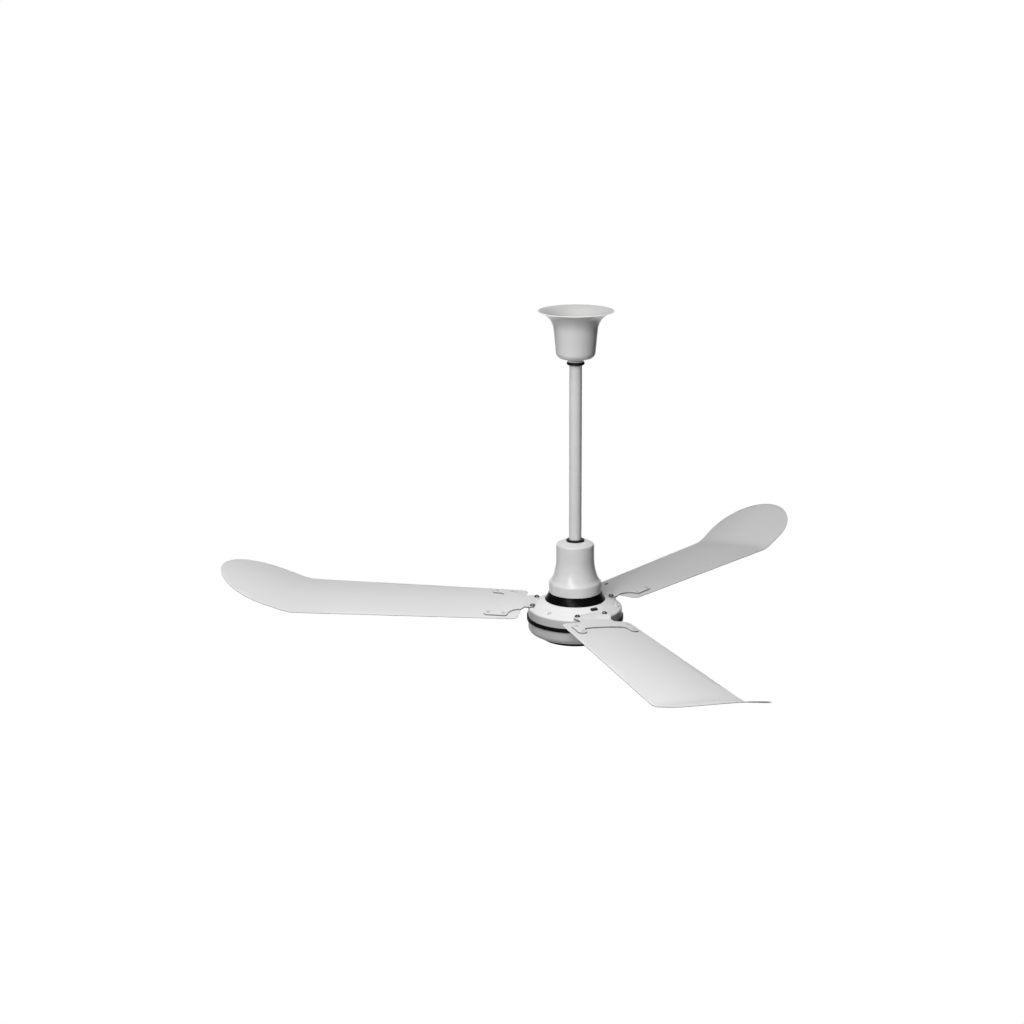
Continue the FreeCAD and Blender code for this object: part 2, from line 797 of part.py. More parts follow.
def ball_bearing(prefix, bore, radius, foot, width, ball_radius):
    """Inner ring, balls and outer ring; the balls run in grooves with a small gap."""
    pitch = (bore + radius) / 2
    middle = foot + width / 2
    groove = ball_radius + running_gap
    land = dim("bearing_land")
    groove_half = root(groove * groove - land * land)
    inner = turned(f"{prefix}_bearing_inner", [
        (bore + fit_gap, foot),
        (pitch - land, foot),
        (pitch - land, middle - groove_half, groove, -1),
        (pitch - land, middle + groove_half),
        (pitch - land, foot + width),
        (bore + fit_gap, foot + width),
    ])
    place(inner, z=motor_z)
    outer = turned(f"{prefix}_bearing_outer", [
        (pitch + land, foot),
        (radius, foot),
        (radius, foot + width),
        (pitch + land, foot + width),
        (pitch + land, middle + groove_half, groove, -1),
        (pitch + land, middle - groove_half),
    ])
    place(outer, z=motor_z)
    ball = doc.addObject("Part::Sphere", f"{prefix}_bearing_ball")
    bind(ball, "Radius", ball_radius)
    count = int(dim("ball_count").value)
    places = []
    for index in range(count):
        turn = FreeCAD.Rotation(Z_AXIS, 360 * index / count)
        spot = turn.multVec(FreeCAD.Vector(pitch.value, 0, 0)) + FreeCAD.Vector(0, 0, (motor_z + middle).value)
        places.append(FreeCAD.Placement(spot, turn))
    balls = group(f"{prefix}_bearing_balls", ball, places)
    nodes.extend([inner, outer, balls])


ball_bearing("upper", dim("shaft_radius"), dim("upper_bearing_radius"), bearing_foot,
             dim("upper_bearing_width"), dim("upper_ball_radius"))
ball_bearing("lower", dim("lower_journal_radius"), dim("lower_bearing_radius"), shaft_foot_z,
             dim("lower_bearing_width"), dim("lower_ball_radius"))

# Run capacitor beside the rod, in a clip that goes round both.
clip_thickness = dim("clip_thickness")
capacitor_near = rod_radius + clip_thickness + running_gap
capacitor_half = dim("capacitor_width") / 2
capacitor_far = capacitor_near + dim("capacitor_depth")
capacitor = new_body("run_capacitor")
case = new_sketch(capacitor, "XY_Plane")
outline(case, rounded_box(capacitor_near, capacitor_far, -capacitor_half, capacitor_half,
                          dim("capacitor_round")))
pad(capacitor, case, dim("capacitor_height"))
place(capacitor, z=motor_z + dim("capacitor_foot"))
nodes.append(capacitor)

clip = new_body("capacitor_clip")
clip_ring = new_sketch(clip, "XY_Plane")
circle(clip_ring, 0, 0, rod_radius + clip_thickness)
pad(clip, clip_ring, dim("clip_height"))
clip_band = new_sketch(clip, "XY_Plane")
outline(clip_band, box_corners(0, capacitor_far + clip_thickness + fit_gap,
                               -(capacitor_half + clip_thickness + fit_gap),
                               capacitor_half + clip_thickness + fit_gap))
pad(clip, clip_band, dim("clip_height"))
hole(clip, "XY_Plane", 0, 0, rod_radius + fit_gap)
clip_window = new_sketch(clip, "XY_Plane")
outline(clip_window, box_corners(capacitor_near - fit_gap, capacitor_far + fit_gap,
                                 -(capacitor_half + fit_gap), capacitor_half + fit_gap))
pocket_through(clip, clip_window)
place(clip, z=motor_z + dim("capacitor_foot") + dim("clip_rise"))
nodes.append(clip)

# Stator: laminated core on the shaft's seat, and windings whose bars pass through its slots.
stack_top_z = -dim("stack_drop")
stack_foot_z = stack_top_z - dim("stack_height")
stator_radius = dim("stator_radius")
slot_pitch = dim("slot_pitch_radius")
stator = turned("stator_core", [
    (stator_seat + fit_gap, stack_foot_z),
    (stator_radius, stack_foot_z),
    (stator_radius, stack_top_z),
    (stator_seat + fit_gap, stack_top_z),
])
slot = hole(stator, "XY_Plane", slot_pitch, 0, dim("slot_radius"))
repeat(stator, [slot], dim("slot_count"))
place(stator, z=motor_z)
nodes.append(stator)


def ring_corners(pitch, width, low, high):
    return box_corners(pitch - width / 2, pitch + width / 2, low, high)


def barred_rings(label, pitch, width, height, bar_radius, count):
    """Two end rings on the stack's faces, joined by round bars through it."""
    body = new_body(label)
    revolve(body, ring_corners(pitch, width, stack_foot_z - height, stack_foot_z))
    bar = new_sketch(body, "XY_Plane", stack_foot_z)
    circle(bar, pitch, 0, bar_radius)
    bars = repeat(body, [pad(body, bar, dim("stack_height"))], count)
    bars.Refine = True
    revolve(body, ring_corners(pitch, width, stack_top_z, stack_top_z + height))
    body.Tip = body.Group[-1]
    return body


windings = barred_rings("stator_windings", slot_pitch, dim("winding_width"), dim("winding_height"),
                        dim("slot_radius") - hole_gap, dim("slot_count"))
place(windings, z=motor_z)
nodes.append(windings)

# Rotor ring: its middle shows as the dark band, and its spigots locate both housings.
core_radius = dim("housing_radius") - dim("housing_wall") - fit_gap
band_top_z = -dim("upper_wall_drop")
band_foot_z = band_top_z - dim("band_height")
rotor_bore = stator_radius + dim("air_gap")
screw_circle = dim("housing_screw_circle")
screw_radius = dim("housing_screw_radius")
half_step = Size(blade_step / 2, f"(180 / {dim('blade_count').text})")
screw_x = screw_circle * cos(half_step)
screw_y = screw_circle * sin(half_step)
rotor_core = turned("rotor_core", [
    (rotor_bore, stack_foot_z),
    (core_radius, stack_foot_z),
    (core_radius, band_foot_z),
    (dim("band_radius"), band_foot_z),
    (dim("band_radius"), band_top_z),
    (core_radius, band_top_z),
    (core_radius, stack_top_z),
    (rotor_bore, stack_top_z),
])
bar_hole = hole(rotor_core, "XY_Plane", dim("cage_pitch_radius"), 0, dim("cage_bar_radius") + fit_gap)
repeat(rotor_core, [bar_hole], dim("cage_bar_count"))
screw_hole = hole(rotor_core, "XY_Plane", screw_x, screw_y, screw_radius + hole_gap)
repeat(rotor_core, [screw_hole], dim("blade_count"))
place(rotor_core, z=motor_z, turn=rotor_turn)
nodes.append(rotor_core)

cage = barred_rings("rotor_cage", dim("cage_pitch_radius"), dim("cage_ring_width"), dim("cage_ring_height"),
                    dim("cage_bar_radius"), dim("cage_bar_count"))
place(cage, z=motor_z, turn=rotor_turn)
nodes.append(cage)

# Upper housing: wall, rounded rim, conical dome and bearing boss, with a flat seat for each blade iron
# and a spot face for each long screw.
housing_radius = dim("housing_radius")
housing_wall = dim("housing_wall")
wall_inside = housing_radius - housing_wall
dome_radius = dim("dome_top_radius")
dome_z = dim("dome_top_height")
rim_foot_r = housing_radius - dim("rim_inset")
rim_foot_z = dim("rim_rise")
upper_pocket = dim("upper_bearing_radius") + fit_gap
upper_boss = upper_pocket + dim("bearing_boss_wall")
boss_foot_z = bearing_foot - dim("bearing_skirt")
boss_top_z = spacer_foot_z + dim("bearing_lip")
upper_housing = turned("upper_housing", [
    (wall_inside, band_top_z),
    (housing_radius, band_top_z),
    (housing_radius, -dim("rim_drop"), dim("rim_round"), 1),
    (rim_foot_r, rim_foot_z),
    (dome_radius, dome_z),
    (upper_boss, dome_z),
    (upper_boss, boss_top_z),
    (dim("bearing_lip_radius"), boss_top_z),
    (dim("bearing_lip_radius"), spacer_foot_z),
    (upper_pocket, spacer_foot_z),
    (upper_pocket, boss_foot_z),
    (upper_boss, boss_foot_z),
    (upper_boss, dome_z - housing_wall),
    (dome_radius, dome_z - housing_wall),
    (wall_inside, rim_foot_z - housing_wall),
])
iron_seat_z = dim("iron_seat_height")
tongue_half = dim("iron_tongue_half")
iron_inner = dim("iron_inner_radius")
iron_corner = dim("iron_corner")
side_gap = dim("seat_side_gap")
recess_half = tongue_half + side_gap
recess_inner = iron_inner - side_gap
recess_corner = iron_corner + side_gap
block_reach = root(housing_radius * housing_radius - recess_half * recess_half)
seat_block = new_sketch(upper_housing, "XY_Plane", stack_top_z)
outline(seat_block, [
    (recess_inner, -recess_half),
    (block_reach, -recess_half, housing_radius, 1),
    (block_reach, recess_half),
    (recess_inner, recess_half),
])
repeat(upper_housing, [pad(upper_housing, seat_block, iron_seat_z - stack_top_z)], dim("blade_count"))
seat_recess = new_sketch(upper_housing, "XY_Plane", iron_seat_z)
outline(seat_recess, [
    (recess_inner + recess_corner, -recess_half),
    (housing_radius, -recess_half),
    (housing_radius, recess_half),
    (recess_inner + recess_corner, recess_half, recess_corner, 1),
    (recess_inner, recess_half - recess_corner),
    (recess_inner, recess_corner - recess_half, recess_corner, 1),
])
repeat(upper_housing, [pocket(upper_housing, seat_recess, dome_z, upward=True)], dim("blade_count"))
screw_boss = new_sketch(upper_housing, "XY_Plane", stack_top_z)
circle(screw_boss, screw_x, screw_y, dim("housing_boss_radius"))
repeat(upper_housing, [pad(upper_housing, screw_boss, dim("housing_boss_height") - stack_top_z)],
       dim("blade_count"))
spot_face = new_sketch(upper_housing, "XY_Plane", dim("housing_boss_height"))
circle(spot_face, screw_x, screw_y, dim("housing_boss_radius"))
repeat(upper_housing, [pocket(upper_housing, spot_face, dome_z, upward=True)], dim("blade_count"))
iron_u = dim("iron_screw_u")
iron_v = dim("iron_screw_v")
upper_holes = new_sketch(upper_housing, "XY_Plane")
circle(upper_holes, screw_x, screw_y, screw_radius + hole_gap)
for side in (-1, 1):
    circle(upper_holes, iron_u, iron_v * side, dim("iron_screw_radius") + fit_gap)
repeat(upper_housing, [pocket_through(upper_housing, upper_holes)], dim("blade_count"))
place(upper_housing, z=motor_z, turn=rotor_turn)
nodes.append(upper_housing)

# Lower housing: wall, rounded bottom edge, floor and bearing pocket, with bosses for the long screws.
lower_round = dim("lower_round")
round_z = band_foot_z - dim("lower_wall_height")
floor_z = round_z - lower_round
floor_top_z = floor_z + housing_wall
lower_pocket = dim("lower_bearing_radius") + fit_gap
lower_boss = lower_pocket + dim("bearing_boss_wall")
lower_housing = turned("lower_housing", [
    (dim("floor_hole_radius"), floor_z),
    (housing_radius - lower_round, floor_z, lower_round, 1),
    (housing_radius, round_z),
    (housing_radius, band_foot_z),
    (wall_inside, band_foot_z),
    (wall_inside, round_z, lower_round - housing_wall, -1),
    (housing_radius - lower_round, floor_top_z),
    (lower_boss, floor_top_z),
    (lower_boss, lower_bearing_z),
    (lower_pocket, lower_bearing_z),
    (lower_pocket, shaft_foot_z),
    (dim("floor_hole_radius"), shaft_foot_z),
])
lower_bosses = new_sketch(lower_housing, "XY_Plane", floor_z + housing_wall / 2)
circle(lower_bosses, screw_x, screw_y, dim("housing_boss_radius"))
repeat(lower_housing, [pad(lower_housing, lower_bosses, stack_foot_z - floor_z - housing_wall / 2)],
       dim("blade_count"))
thread_holes = new_sketch(lower_housing, "XY_Plane", stack_foot_z)
circle(thread_holes, screw_x, screw_y, screw_radius + fit_gap)
repeat(lower_housing, [pocket(lower_housing, thread_holes, stack_foot_z - floor_top_z)], dim("blade_count"))
cap_screw_x = dim("cap_screw_circle") * cos(half_step)
cap_screw_y = dim("cap_screw_circle") * sin(half_step)
cap_hole = hole(lower_housing, "XY_Plane", cap_screw_x, cap_screw_y, dim("cap_screw_radius") + fit_gap)
repeat(lower_housing, [cap_hole], dim("blade_count"))
place(lower_housing, z=motor_z, turn=rotor_turn)
nodes.append(lower_housing)

# Bottom cap: a flat black disc with a rounded lower edge.
cap_radius = dim("cap_radius")
cap_foot_z = floor_z - dim("cap_thickness")
cap_round = dim("cap_round")
cap = turned("bottom_cap", [
    (0, cap_foot_z),
    (cap_radius - cap_round, cap_foot_z, cap_round, 1),
    (cap_radius, cap_foot_z + cap_round),
    (cap_radius, floor_z),
    (0, floor_z),
])
repeat(cap, [hole(cap, "XY_Plane", cap_screw_x, cap_screw_y, dim("cap_screw_radius") + hole_gap)],
       dim("blade_count"))
place(cap, z=motor_z, turn=rotor_turn)
nodes.append(cap)


def pan_screw(label, radius, length):
    """A pan-head screw from under its head at z 0, pointing down."""
    head_radius = radius * dim("screw_head_ratio")
    head_height = dim("screw_head_height") * radius / dim("iron_screw_radius")
    edge = head_height / 2
    return turned(label, [
        (0, -length),
        (radius, -length),
        (radius, 0),
        (head_radius, 0),
        (head_radius, head_height - edge, edge, 1),
        (head_radius - edge, head_height),
        (0, head_height),
    ])


def rotor_places(u, v, height, flip=False):
    """A place beside each blade in the rotor: along it, across it and above the rim plane."""
    turn_over = FreeCAD.Rotation(FreeCAD.Vector(1, 0, 0), 180 if flip else 0)
    places = []
    for index in range(blade_count):
        turn = FreeCAD.Rotation(Z_AXIS, dim("blade_phase").value + blade_step * index)
        spot = turn.multVec(FreeCAD.Vector(number(u), number(v), number(motor_z + height)))
        places.append(FreeCAD.Placement(spot, turn.multiply(turn_over)))
    return places


housing_screw = pan_screw("housing_screw", screw_radius, dim("housing_boss_height") - floor_top_z - hole_gap)
nodes.append(group("housing_screws", housing_screw,
                   rotor_places(screw_x, screw_y, dim("housing_boss_height"))))
cap_screw = pan_screw("bottom_cap_screw", dim("cap_screw_radius"),
                      dim("cap_thickness") + dim("cap_screw_depth"))
nodes.append(group("bottom_cap_screws", cap_screw, rotor_places(cap_screw_x, cap_screw_y, cap_foot_z, flip=True)))
iron_thickness = dim("iron_thickness")
iron_top_z = iron_seat_z + iron_thickness
iron_screw = pan_screw("iron_screw", dim("iron_screw_radius"), dim("iron_screw_depth") + iron_thickness)
nodes.append(group("iron_screws", iron_screw,
                   rotor_places(iron_u, iron_v, iron_top_z) + rotor_places(iron_u, -iron_v, iron_top_z)))

# Blade irons: a level tongue on the motor, a short twisted neck and a fork that follows the blade's camber.
camber = dim("blade_camber_radius")
pitch = dim("blade_pitch")
crest_z = dim("blade_crest_height")
camber_v = -camber * sin(pitch)
camber_z = crest_z - camber * cos(pitch)
fork_half = dim("iron_fork_half")
strip_half = fork_half + dim("blade_margin")
under_radius = camber + running_gap
over_radius = under_radius + iron_thickness


def camber_point(radius, v):
    """A point on the pitched camber circle of a given radius, at a distance across the blade."""
    rise = root(radius * radius - (v - camber_v) * (v - camber_v))
    return v, camber_z + rise


def camber_strip(sketch, half, under, over):
    outline(sketch, [
        camber_point(under, -half) + (under, -1),
        camber_point(under, half),
        camber_point(over, half) + (over, 1),
        camber_point(over, -half),
    ])


prong_round = dim("iron_prong_width") / 2
prong_inner = fork_half - dim("iron_prong_width")
prong_middle = fork_half - prong_round
prong_start = dim("iron_prong_end") - prong_round
fork_start = dim("iron_fork_start")
fork_corner = dim("iron_fork_corner")
notch_v = fork_half - fork_corner - dim("iron_fork_shoulder")
web_end = dim("iron_web_end")
web_round = dim("iron_web_round")
half_outline = [
    (iron_inner, tongue_half - iron_corner, iron_corner, -1),
    (iron_inner + iron_corner, tongue_half),
    (dim("iron_tongue_end"), tongue_half, dim("iron_notch_radius"), 1),
    (fork_start, notch_v),
    (fork_start, fork_half - fork_corner, fork_corner, -1),
    (fork_start + fork_corner, fork_half),
    (prong_start, fork_half, prong_round, -1),
    (dim("iron_prong_end"), prong_middle, prong_round, -1),
    (prong_start, prong_inner),
    (web_end + web_round, prong_inner, web_round, 1),
    (web_end, prong_inner - web_round),
]


def mirrored(corners):
    """The other half of an outline, walked back: each arc's data moves to the corner it now leaves."""
    back = []
    for index in reversed(range(len(corners))):
        u, v = corners[index][:2]
        bend = corners[index - 1][2:] if index > 0 else ()
        back.append((u, -v) + bend)
    return back


def trim(body, corners, u_low, u_high, v_half):
    """Cut away everything outside an outline seen from above."""
    frame = new_sketch(body, "XY_Plane")
    outline(frame, box_corners(u_low, u_high, -v_half, v_half))
    outline(frame, corners)
    return pocket_through(body, frame)


rivet_spots = [(dim(f"rivet_{place_name}_u"), dim("rivet_v") * side)
               for place_name in ("inner", "outer") for side in (-1, 1)]
rivet_hole = dim("rivet_radius") + dim("rivet_hole_gap")
margin = dim("blade_margin")
for index in range(blade_count):
    iron = new_body(f"blade_iron_{index + 1}")
    tongue = new_sketch(iron, "XY_Plane", iron_seat_z)
    outline(tongue, box_corners(iron_inner - margin, dim("iron_bend_start"), -strip_half, strip_half))
    pad(iron, tongue, iron_thickness)
    bend_start = new_sketch(iron, "YZ_Plane", dim("iron_bend_start"))
    outline(bend_start, box_corners(-strip_half, strip_half, iron_seat_z, iron_top_z))
    bend_end = new_sketch(iron, "YZ_Plane", dim("iron_bend_end"))
    camber_strip(bend_end, strip_half, under_radius, over_radius)
    neck = iron.newObject("PartDesign::AdditiveLoft", f"{iron.Label}_neck")
    neck.Profile = (bend_start, [""])
    neck.Sections = [(bend_end, [""])]
    neck.Ruled = True
    fork = new_sketch(iron, "YZ_Plane", dim("iron_bend_end"))
    camber_strip(fork, strip_half, under_radius, over_radius)
    pad(iron, fork, dim("iron_prong_end") + margin - dim("iron_bend_end"))
    trim(iron, half_outline + mirrored(half_outline), iron_inner - margin * 2,
         dim("iron_prong_end") + margin * 2, strip_half + margin)
    holes = new_sketch(iron, "XY_Plane")
    for side in (-1, 1):
        circle(holes, iron_u, iron_v * side, dim("iron_screw_radius") + hole_gap)
    for u, v in rivet_spots:
        circle(holes, u, v, rivet_hole)
    pocket_through(iron, holes)
    place(iron, z=motor_z, turn=FreeCAD.Rotation(Z_AXIS, dim("blade_phase").value + blade_step * index))
    nodes.append(iron)

# Blades: a cambered strip swept along the blade and up the fold, then trimmed to its outline.
root_u = dim("blade_root_radius")
fold_u = dim("blade_fold_radius")
tip_u = dim("blade_tip_radius")
tip_half = dim("blade_tip_half")
root_half = dim("blade_root_half")
root_corner = dim("blade_root_corner")
offset = dim("blade_offset")
bend = dim("blade_bend_radius")
fold_cos = cos(dim("blade_fold_angle"))
fold_sin = sin(dim("blade_fold_angle"))
bend_tangent = bend * fold_sin / (fold_cos + 1)
fold_start = fold_u - bend_tangent
sheet_end = tip_u + margin
sheet_rise = (sheet_end - fold_u) * fold_sin / fold_cos
sheet_half = tip_half + margin

# The rounded end is an oval of three arcs: a shoulder on each side and a nose, on common tangents.
tip_length = dim("blade_tip_length")
tip_start = tip_u - tip_length
side_slope = (tip_half - root_half) / (tip_start - root_u)
nose_radius = tip_half * tip_half / tip_length
tip_shoulder = tip_length * (tip_length + tip_half) / (tip_half * 2)
oval = tip_length * tip_length + (tip_length + tip_half) * tip_half * 2
nose_u = tip_u - nose_radius + nose_radius * tip_half * (tip_length + tip_half) * 2 / oval
nose_v = nose_radius * tip_length * (tip_length + tip_half * 2) / oval
blade_corners = [
    (root_u + root_corner, offset - root_half - side_slope * root_corner),
    (tip_start, offset - tip_half, tip_shoulder, 1),
    (nose_u, offset - nose_v, nose_radius, 1),
    (nose_u, offset + nose_v, tip_shoulder, 1),
    (tip_start, offset + tip_half),
    (root_u + root_corner, offset + root_half + side_slope * root_corner, root_corner, 1),
    (root_u, offset + root_half - root_corner),
    (root_u, offset - root_half + root_corner, root_corner, 1),
]
under_camber = camber - dim("blade_thickness")


def crown_point(radius, v):
    return v, root(radius * radius - v * v) - camber


pitch_turn = FreeCAD.Rotation(FreeCAD.Vector(1, 0, 0), -pitch.value)
for index in range(blade_count):
    blade = new_body(f"blade_{index + 1}")
    section = new_sketch(blade, "YZ_Plane", root_u)
    outline(section, [
        crown_point(under_camber, -sheet_half) + (under_camber, -1),
        crown_point(under_camber, sheet_half),
        crown_point(camber, sheet_half) + (camber, 1),
        crown_point(camber, -sheet_half),
    ])
    spine = new_sketch(blade, "XZ_Plane")
    outline(spine, [
        (root_u, 0),
        (fold_start, 0, bend, 1),
        (fold_u + bend_tangent * fold_cos, bend_tangent * fold_sin),
        (sheet_end, sheet_rise),
    ], closed=False)
    strip = blade.newObject("PartDesign::AdditivePipe", f"{blade.Label}_sheet")
    strip.Profile = (section, [""])
    strip.Spine = (spine, ["Edge1", "Edge2", "Edge3"])
    trim(blade, blade_corners, root_u - margin, sheet_end + margin, sheet_half + margin)
    rivet_holes = new_sketch(blade, "XY_Plane")
    for u, v in rivet_spots:
        circle(rivet_holes, u, v, rivet_hole)
    pocket_through(blade, rivet_holes)
    heading = FreeCAD.Rotation(Z_AXIS, dim("blade_phase").value + blade_step * index)
    place(blade, z=motor_z + crest_z, turn=heading.multiply(pitch_turn))
    nodes.append(blade)

# Rivets through iron and blade, square to the camber: a flat head above and a formed tail below.
rivet_head = dim("rivet_head_radius")
rivet_height = dim("rivet_head_height")
rivet_grip = iron_thickness + running_gap + dim("blade_thickness") + fit_gap * 2
rivet_edge = rivet_height / 2
rivet = turned("blade_rivet", [
    (0, -rivet_grip - rivet_height),
    (rivet_head - rivet_edge, -rivet_grip - rivet_height, rivet_edge, 1),
    (rivet_head, -rivet_grip - rivet_edge),
    (rivet_head, -rivet_grip),
    (dim("rivet_radius"), -rivet_grip),
    (dim("rivet_radius"), 0),
    (rivet_head, 0),
    (rivet_head, rivet_height - rivet_edge, rivet_edge, 1),
    (rivet_head - rivet_edge, rivet_height),
    (0, rivet_height),
])
rivet_places = []
for u, v in rivet_spots:
    reach = (over_radius + fit_gap).value
    lean = math.asin((v - camber_v).value / reach)
    spot_v = camber_v.value + reach * math.sin(lean)
    spot_z = camber_z.value + reach * math.cos(lean)
    tilt = FreeCAD.Placement(FreeCAD.Vector(), FreeCAD.Rotation(FreeCAD.Vector(1, 0, 0), -math.degrees(lean)))
    for spot in rotor_places(u, spot_v, spot_z):
        rivet_places.append(spot.multiply(tilt))
nodes.append(group("blade_rivets", rivet, rivet_places))

# Balance weight: a small plate that lies on the dome's cone, ahead of the last blade.
dome_run = rim_foot_r - dome_radius
dome_fall = dome_z - rim_foot_z
dome_slope = math.degrees(math.atan2(dome_fall.value, dome_run.value))
weight_u = dim("weight_width") / 2
weight_v = dim("weight_length") / 2
weight_corner = dim("weight_corner")
weight = new_body("balance_weight")
weight_blank = new_sketch(weight, "XY_Plane")
outline(weight_blank, rounded_box(-weight_u, weight_u, -weight_v, weight_v, weight_corner))
pad(weight, weight_blank, dim("weight_thickness"))
weight_height = rim_foot_z + dome_fall * (rim_foot_r - dim("weight_radius")) / dome_run + fit_gap
weight_turn = FreeCAD.Rotation(
    Z_AXIS, dim("blade_phase").value + blade_step * (blade_count - 1) + dim("weight_lead").value)
lie_down = FreeCAD.Rotation(FreeCAD.Vector(0, 1, 0), dome_slope)
weight_spot = weight_turn.multVec(FreeCAD.Vector(dim("weight_radius").value, 0, (motor_z + weight_height).value))
weight.Placement = FreeCAD.Placement(weight_spot, weight_turn.multiply(lie_down))
nodes.append(weight)

doc.recompute()
faults = [item.Label for item in doc.Objects if {"Invalid", "Error"} & set(item.State)]
for node in nodes:
    if node.Shape.isNull() or not node.Shape.isValid() or not node.Shape.Solids:
        faults.append(node.Label)
if faults:
    raise RuntimeError("failed: " + ", ".join(faults))

os.makedirs("parts", exist_ok=True)
for node in nodes:
    node.Shape.exportStep(f"parts/{node.Label}.step")
print(len(nodes), "nodes written")
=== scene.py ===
import bmesh
import bpy
import json
import math
from mathutils import Matrix, Vector


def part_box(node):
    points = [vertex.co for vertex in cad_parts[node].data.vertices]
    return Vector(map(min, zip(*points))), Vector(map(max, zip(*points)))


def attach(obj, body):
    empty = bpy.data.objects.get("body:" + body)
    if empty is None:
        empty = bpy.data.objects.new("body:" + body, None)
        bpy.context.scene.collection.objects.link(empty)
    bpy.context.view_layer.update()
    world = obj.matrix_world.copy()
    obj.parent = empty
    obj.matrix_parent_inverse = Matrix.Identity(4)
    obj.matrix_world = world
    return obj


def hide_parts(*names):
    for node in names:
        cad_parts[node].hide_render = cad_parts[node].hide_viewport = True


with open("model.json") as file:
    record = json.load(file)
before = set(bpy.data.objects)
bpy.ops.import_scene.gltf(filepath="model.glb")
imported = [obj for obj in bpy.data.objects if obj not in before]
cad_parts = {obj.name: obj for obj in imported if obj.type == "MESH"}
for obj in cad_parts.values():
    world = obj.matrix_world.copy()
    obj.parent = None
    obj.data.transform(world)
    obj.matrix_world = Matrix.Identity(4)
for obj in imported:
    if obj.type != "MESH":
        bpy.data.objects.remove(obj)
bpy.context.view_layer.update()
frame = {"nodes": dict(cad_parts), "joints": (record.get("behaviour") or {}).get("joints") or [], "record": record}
motorZ = next(joint["pos_m"][2] for joint in frame["joints"] if joint["name"] == "rotor_spin")
print("frame loaded:", len(frame["nodes"]), "nodes")


# Shader groups that several finishes share

def newGroup(name, inputs, outputs):
    group = bpy.data.node_groups.new(name, "ShaderNodeTree")
    for label, kind in inputs:
        group.interface.new_socket(label, in_out="INPUT", socket_type=kind)
    for label, kind in outputs:
        group.interface.new_socket(label, in_out="OUTPUT", socket_type=kind)
    return group, group.nodes.new("NodeGroupInput"), group.nodes.new("NodeGroupOutput")


def noiseNode(tree, vector, scale, detail):
    noise = tree.nodes.new("ShaderNodeTexNoise")
    noise.inputs["Detail"].default_value = detail
    tree.links.new(vector, noise.inputs["Vector"])
    tree.links.new(scale, noise.inputs["Scale"])
    return noise.outputs["Fac"]


noiseRange = (0.3, 0.7)  # noise seldom leaves the middle


def spread(tree, value, low, high):
    span = tree.nodes.new("ShaderNodeMapRange")
    span.inputs["From Min"].default_value = noiseRange[0]
    span.inputs["From Max"].default_value = noiseRange[1]
    tree.links.new(value, span.inputs["Value"])
    tree.links.new(low, span.inputs["To Min"])
    tree.links.new(high, span.inputs["To Max"])
    return span.outputs["Result"]


def mixColours(tree, amount, first, second):
    mix = tree.nodes.new("ShaderNodeMix")
    mix.data_type = "RGBA"
    tree.links.new(amount, mix.inputs["Factor"])
    tree.links.new(first, mix.inputs["A"])
    tree.links.new(second, mix.inputs["B"])
    return mix.outputs["Result"]


def coatedSurface():  # patchy colour and gloss over a fine grain
    tree, given, result = newGroup("coatedSurface", [
        ("Vector", "NodeSocketVector"),
        ("Colour", "NodeSocketColor"), ("Patch Colour", "NodeSocketColor"),
        ("Patch Scale", "NodeSocketFloat"), ("Grain Scale", "NodeSocketFloat"),
        ("Smoothest", "NodeSocketFloat"), ("Roughest", "NodeSocketFloat"),
    ], [("Colour", "NodeSocketColor"), ("Roughness", "NodeSocketFloat"), ("Height", "NodeSocketFloat")])
    patches = noiseNode(tree, given.outputs["Vector"], given.outputs["Patch Scale"], detail=4)
    grain = noiseNode(tree, given.outputs["Vector"], given.outputs["Grain Scale"], detail=2)
    colour = mixColours(tree, patches, given.outputs["Colour"], given.outputs["Patch Colour"])
    gloss = spread(tree, patches, given.outputs["Smoothest"], given.outputs["Roughest"])
    tree.links.new(colour, result.inputs["Colour"])
    tree.links.new(gloss, result.inputs["Roughness"])
    tree.links.new(grain, result.inputs["Height"])
    return tree


def stackedLayers():  # sheets, turns of wire or tool marks one over another along Z
    tree, given, result = newGroup("stackedLayers", [
        ("Vector", "NodeSocketVector"),
        ("Layer Scale", "NodeSocketFloat"), ("Waviness", "NodeSocketFloat"),
    ], [("Mask", "NodeSocketFloat")])
    wave = tree.nodes.new("ShaderNodeTexWave")
    wave.bands_direction = "Z"
    wave.inputs["Detail"].default_value = 1
    tree.links.new(given.outputs["Vector"], wave.inputs["Vector"])
    tree.links.new(given.outputs["Layer Scale"], wave.inputs["Scale"])
    tree.links.new(given.outputs["Waviness"], wave.inputs["Distortion"])
    tree.links.new(wave.outputs["Fac"], result.inputs["Mask"])
    return tree


coatedGroup = coatedSurface()
layerGroup = stackedLayers()
plainSockets = {  # a finish may name these, or leave the shader's own value
    "metal": "Metallic", "specular": "Specular IOR Level",
    "coat": "Coat Weight", "coatRoughness": "Coat Roughness",
}


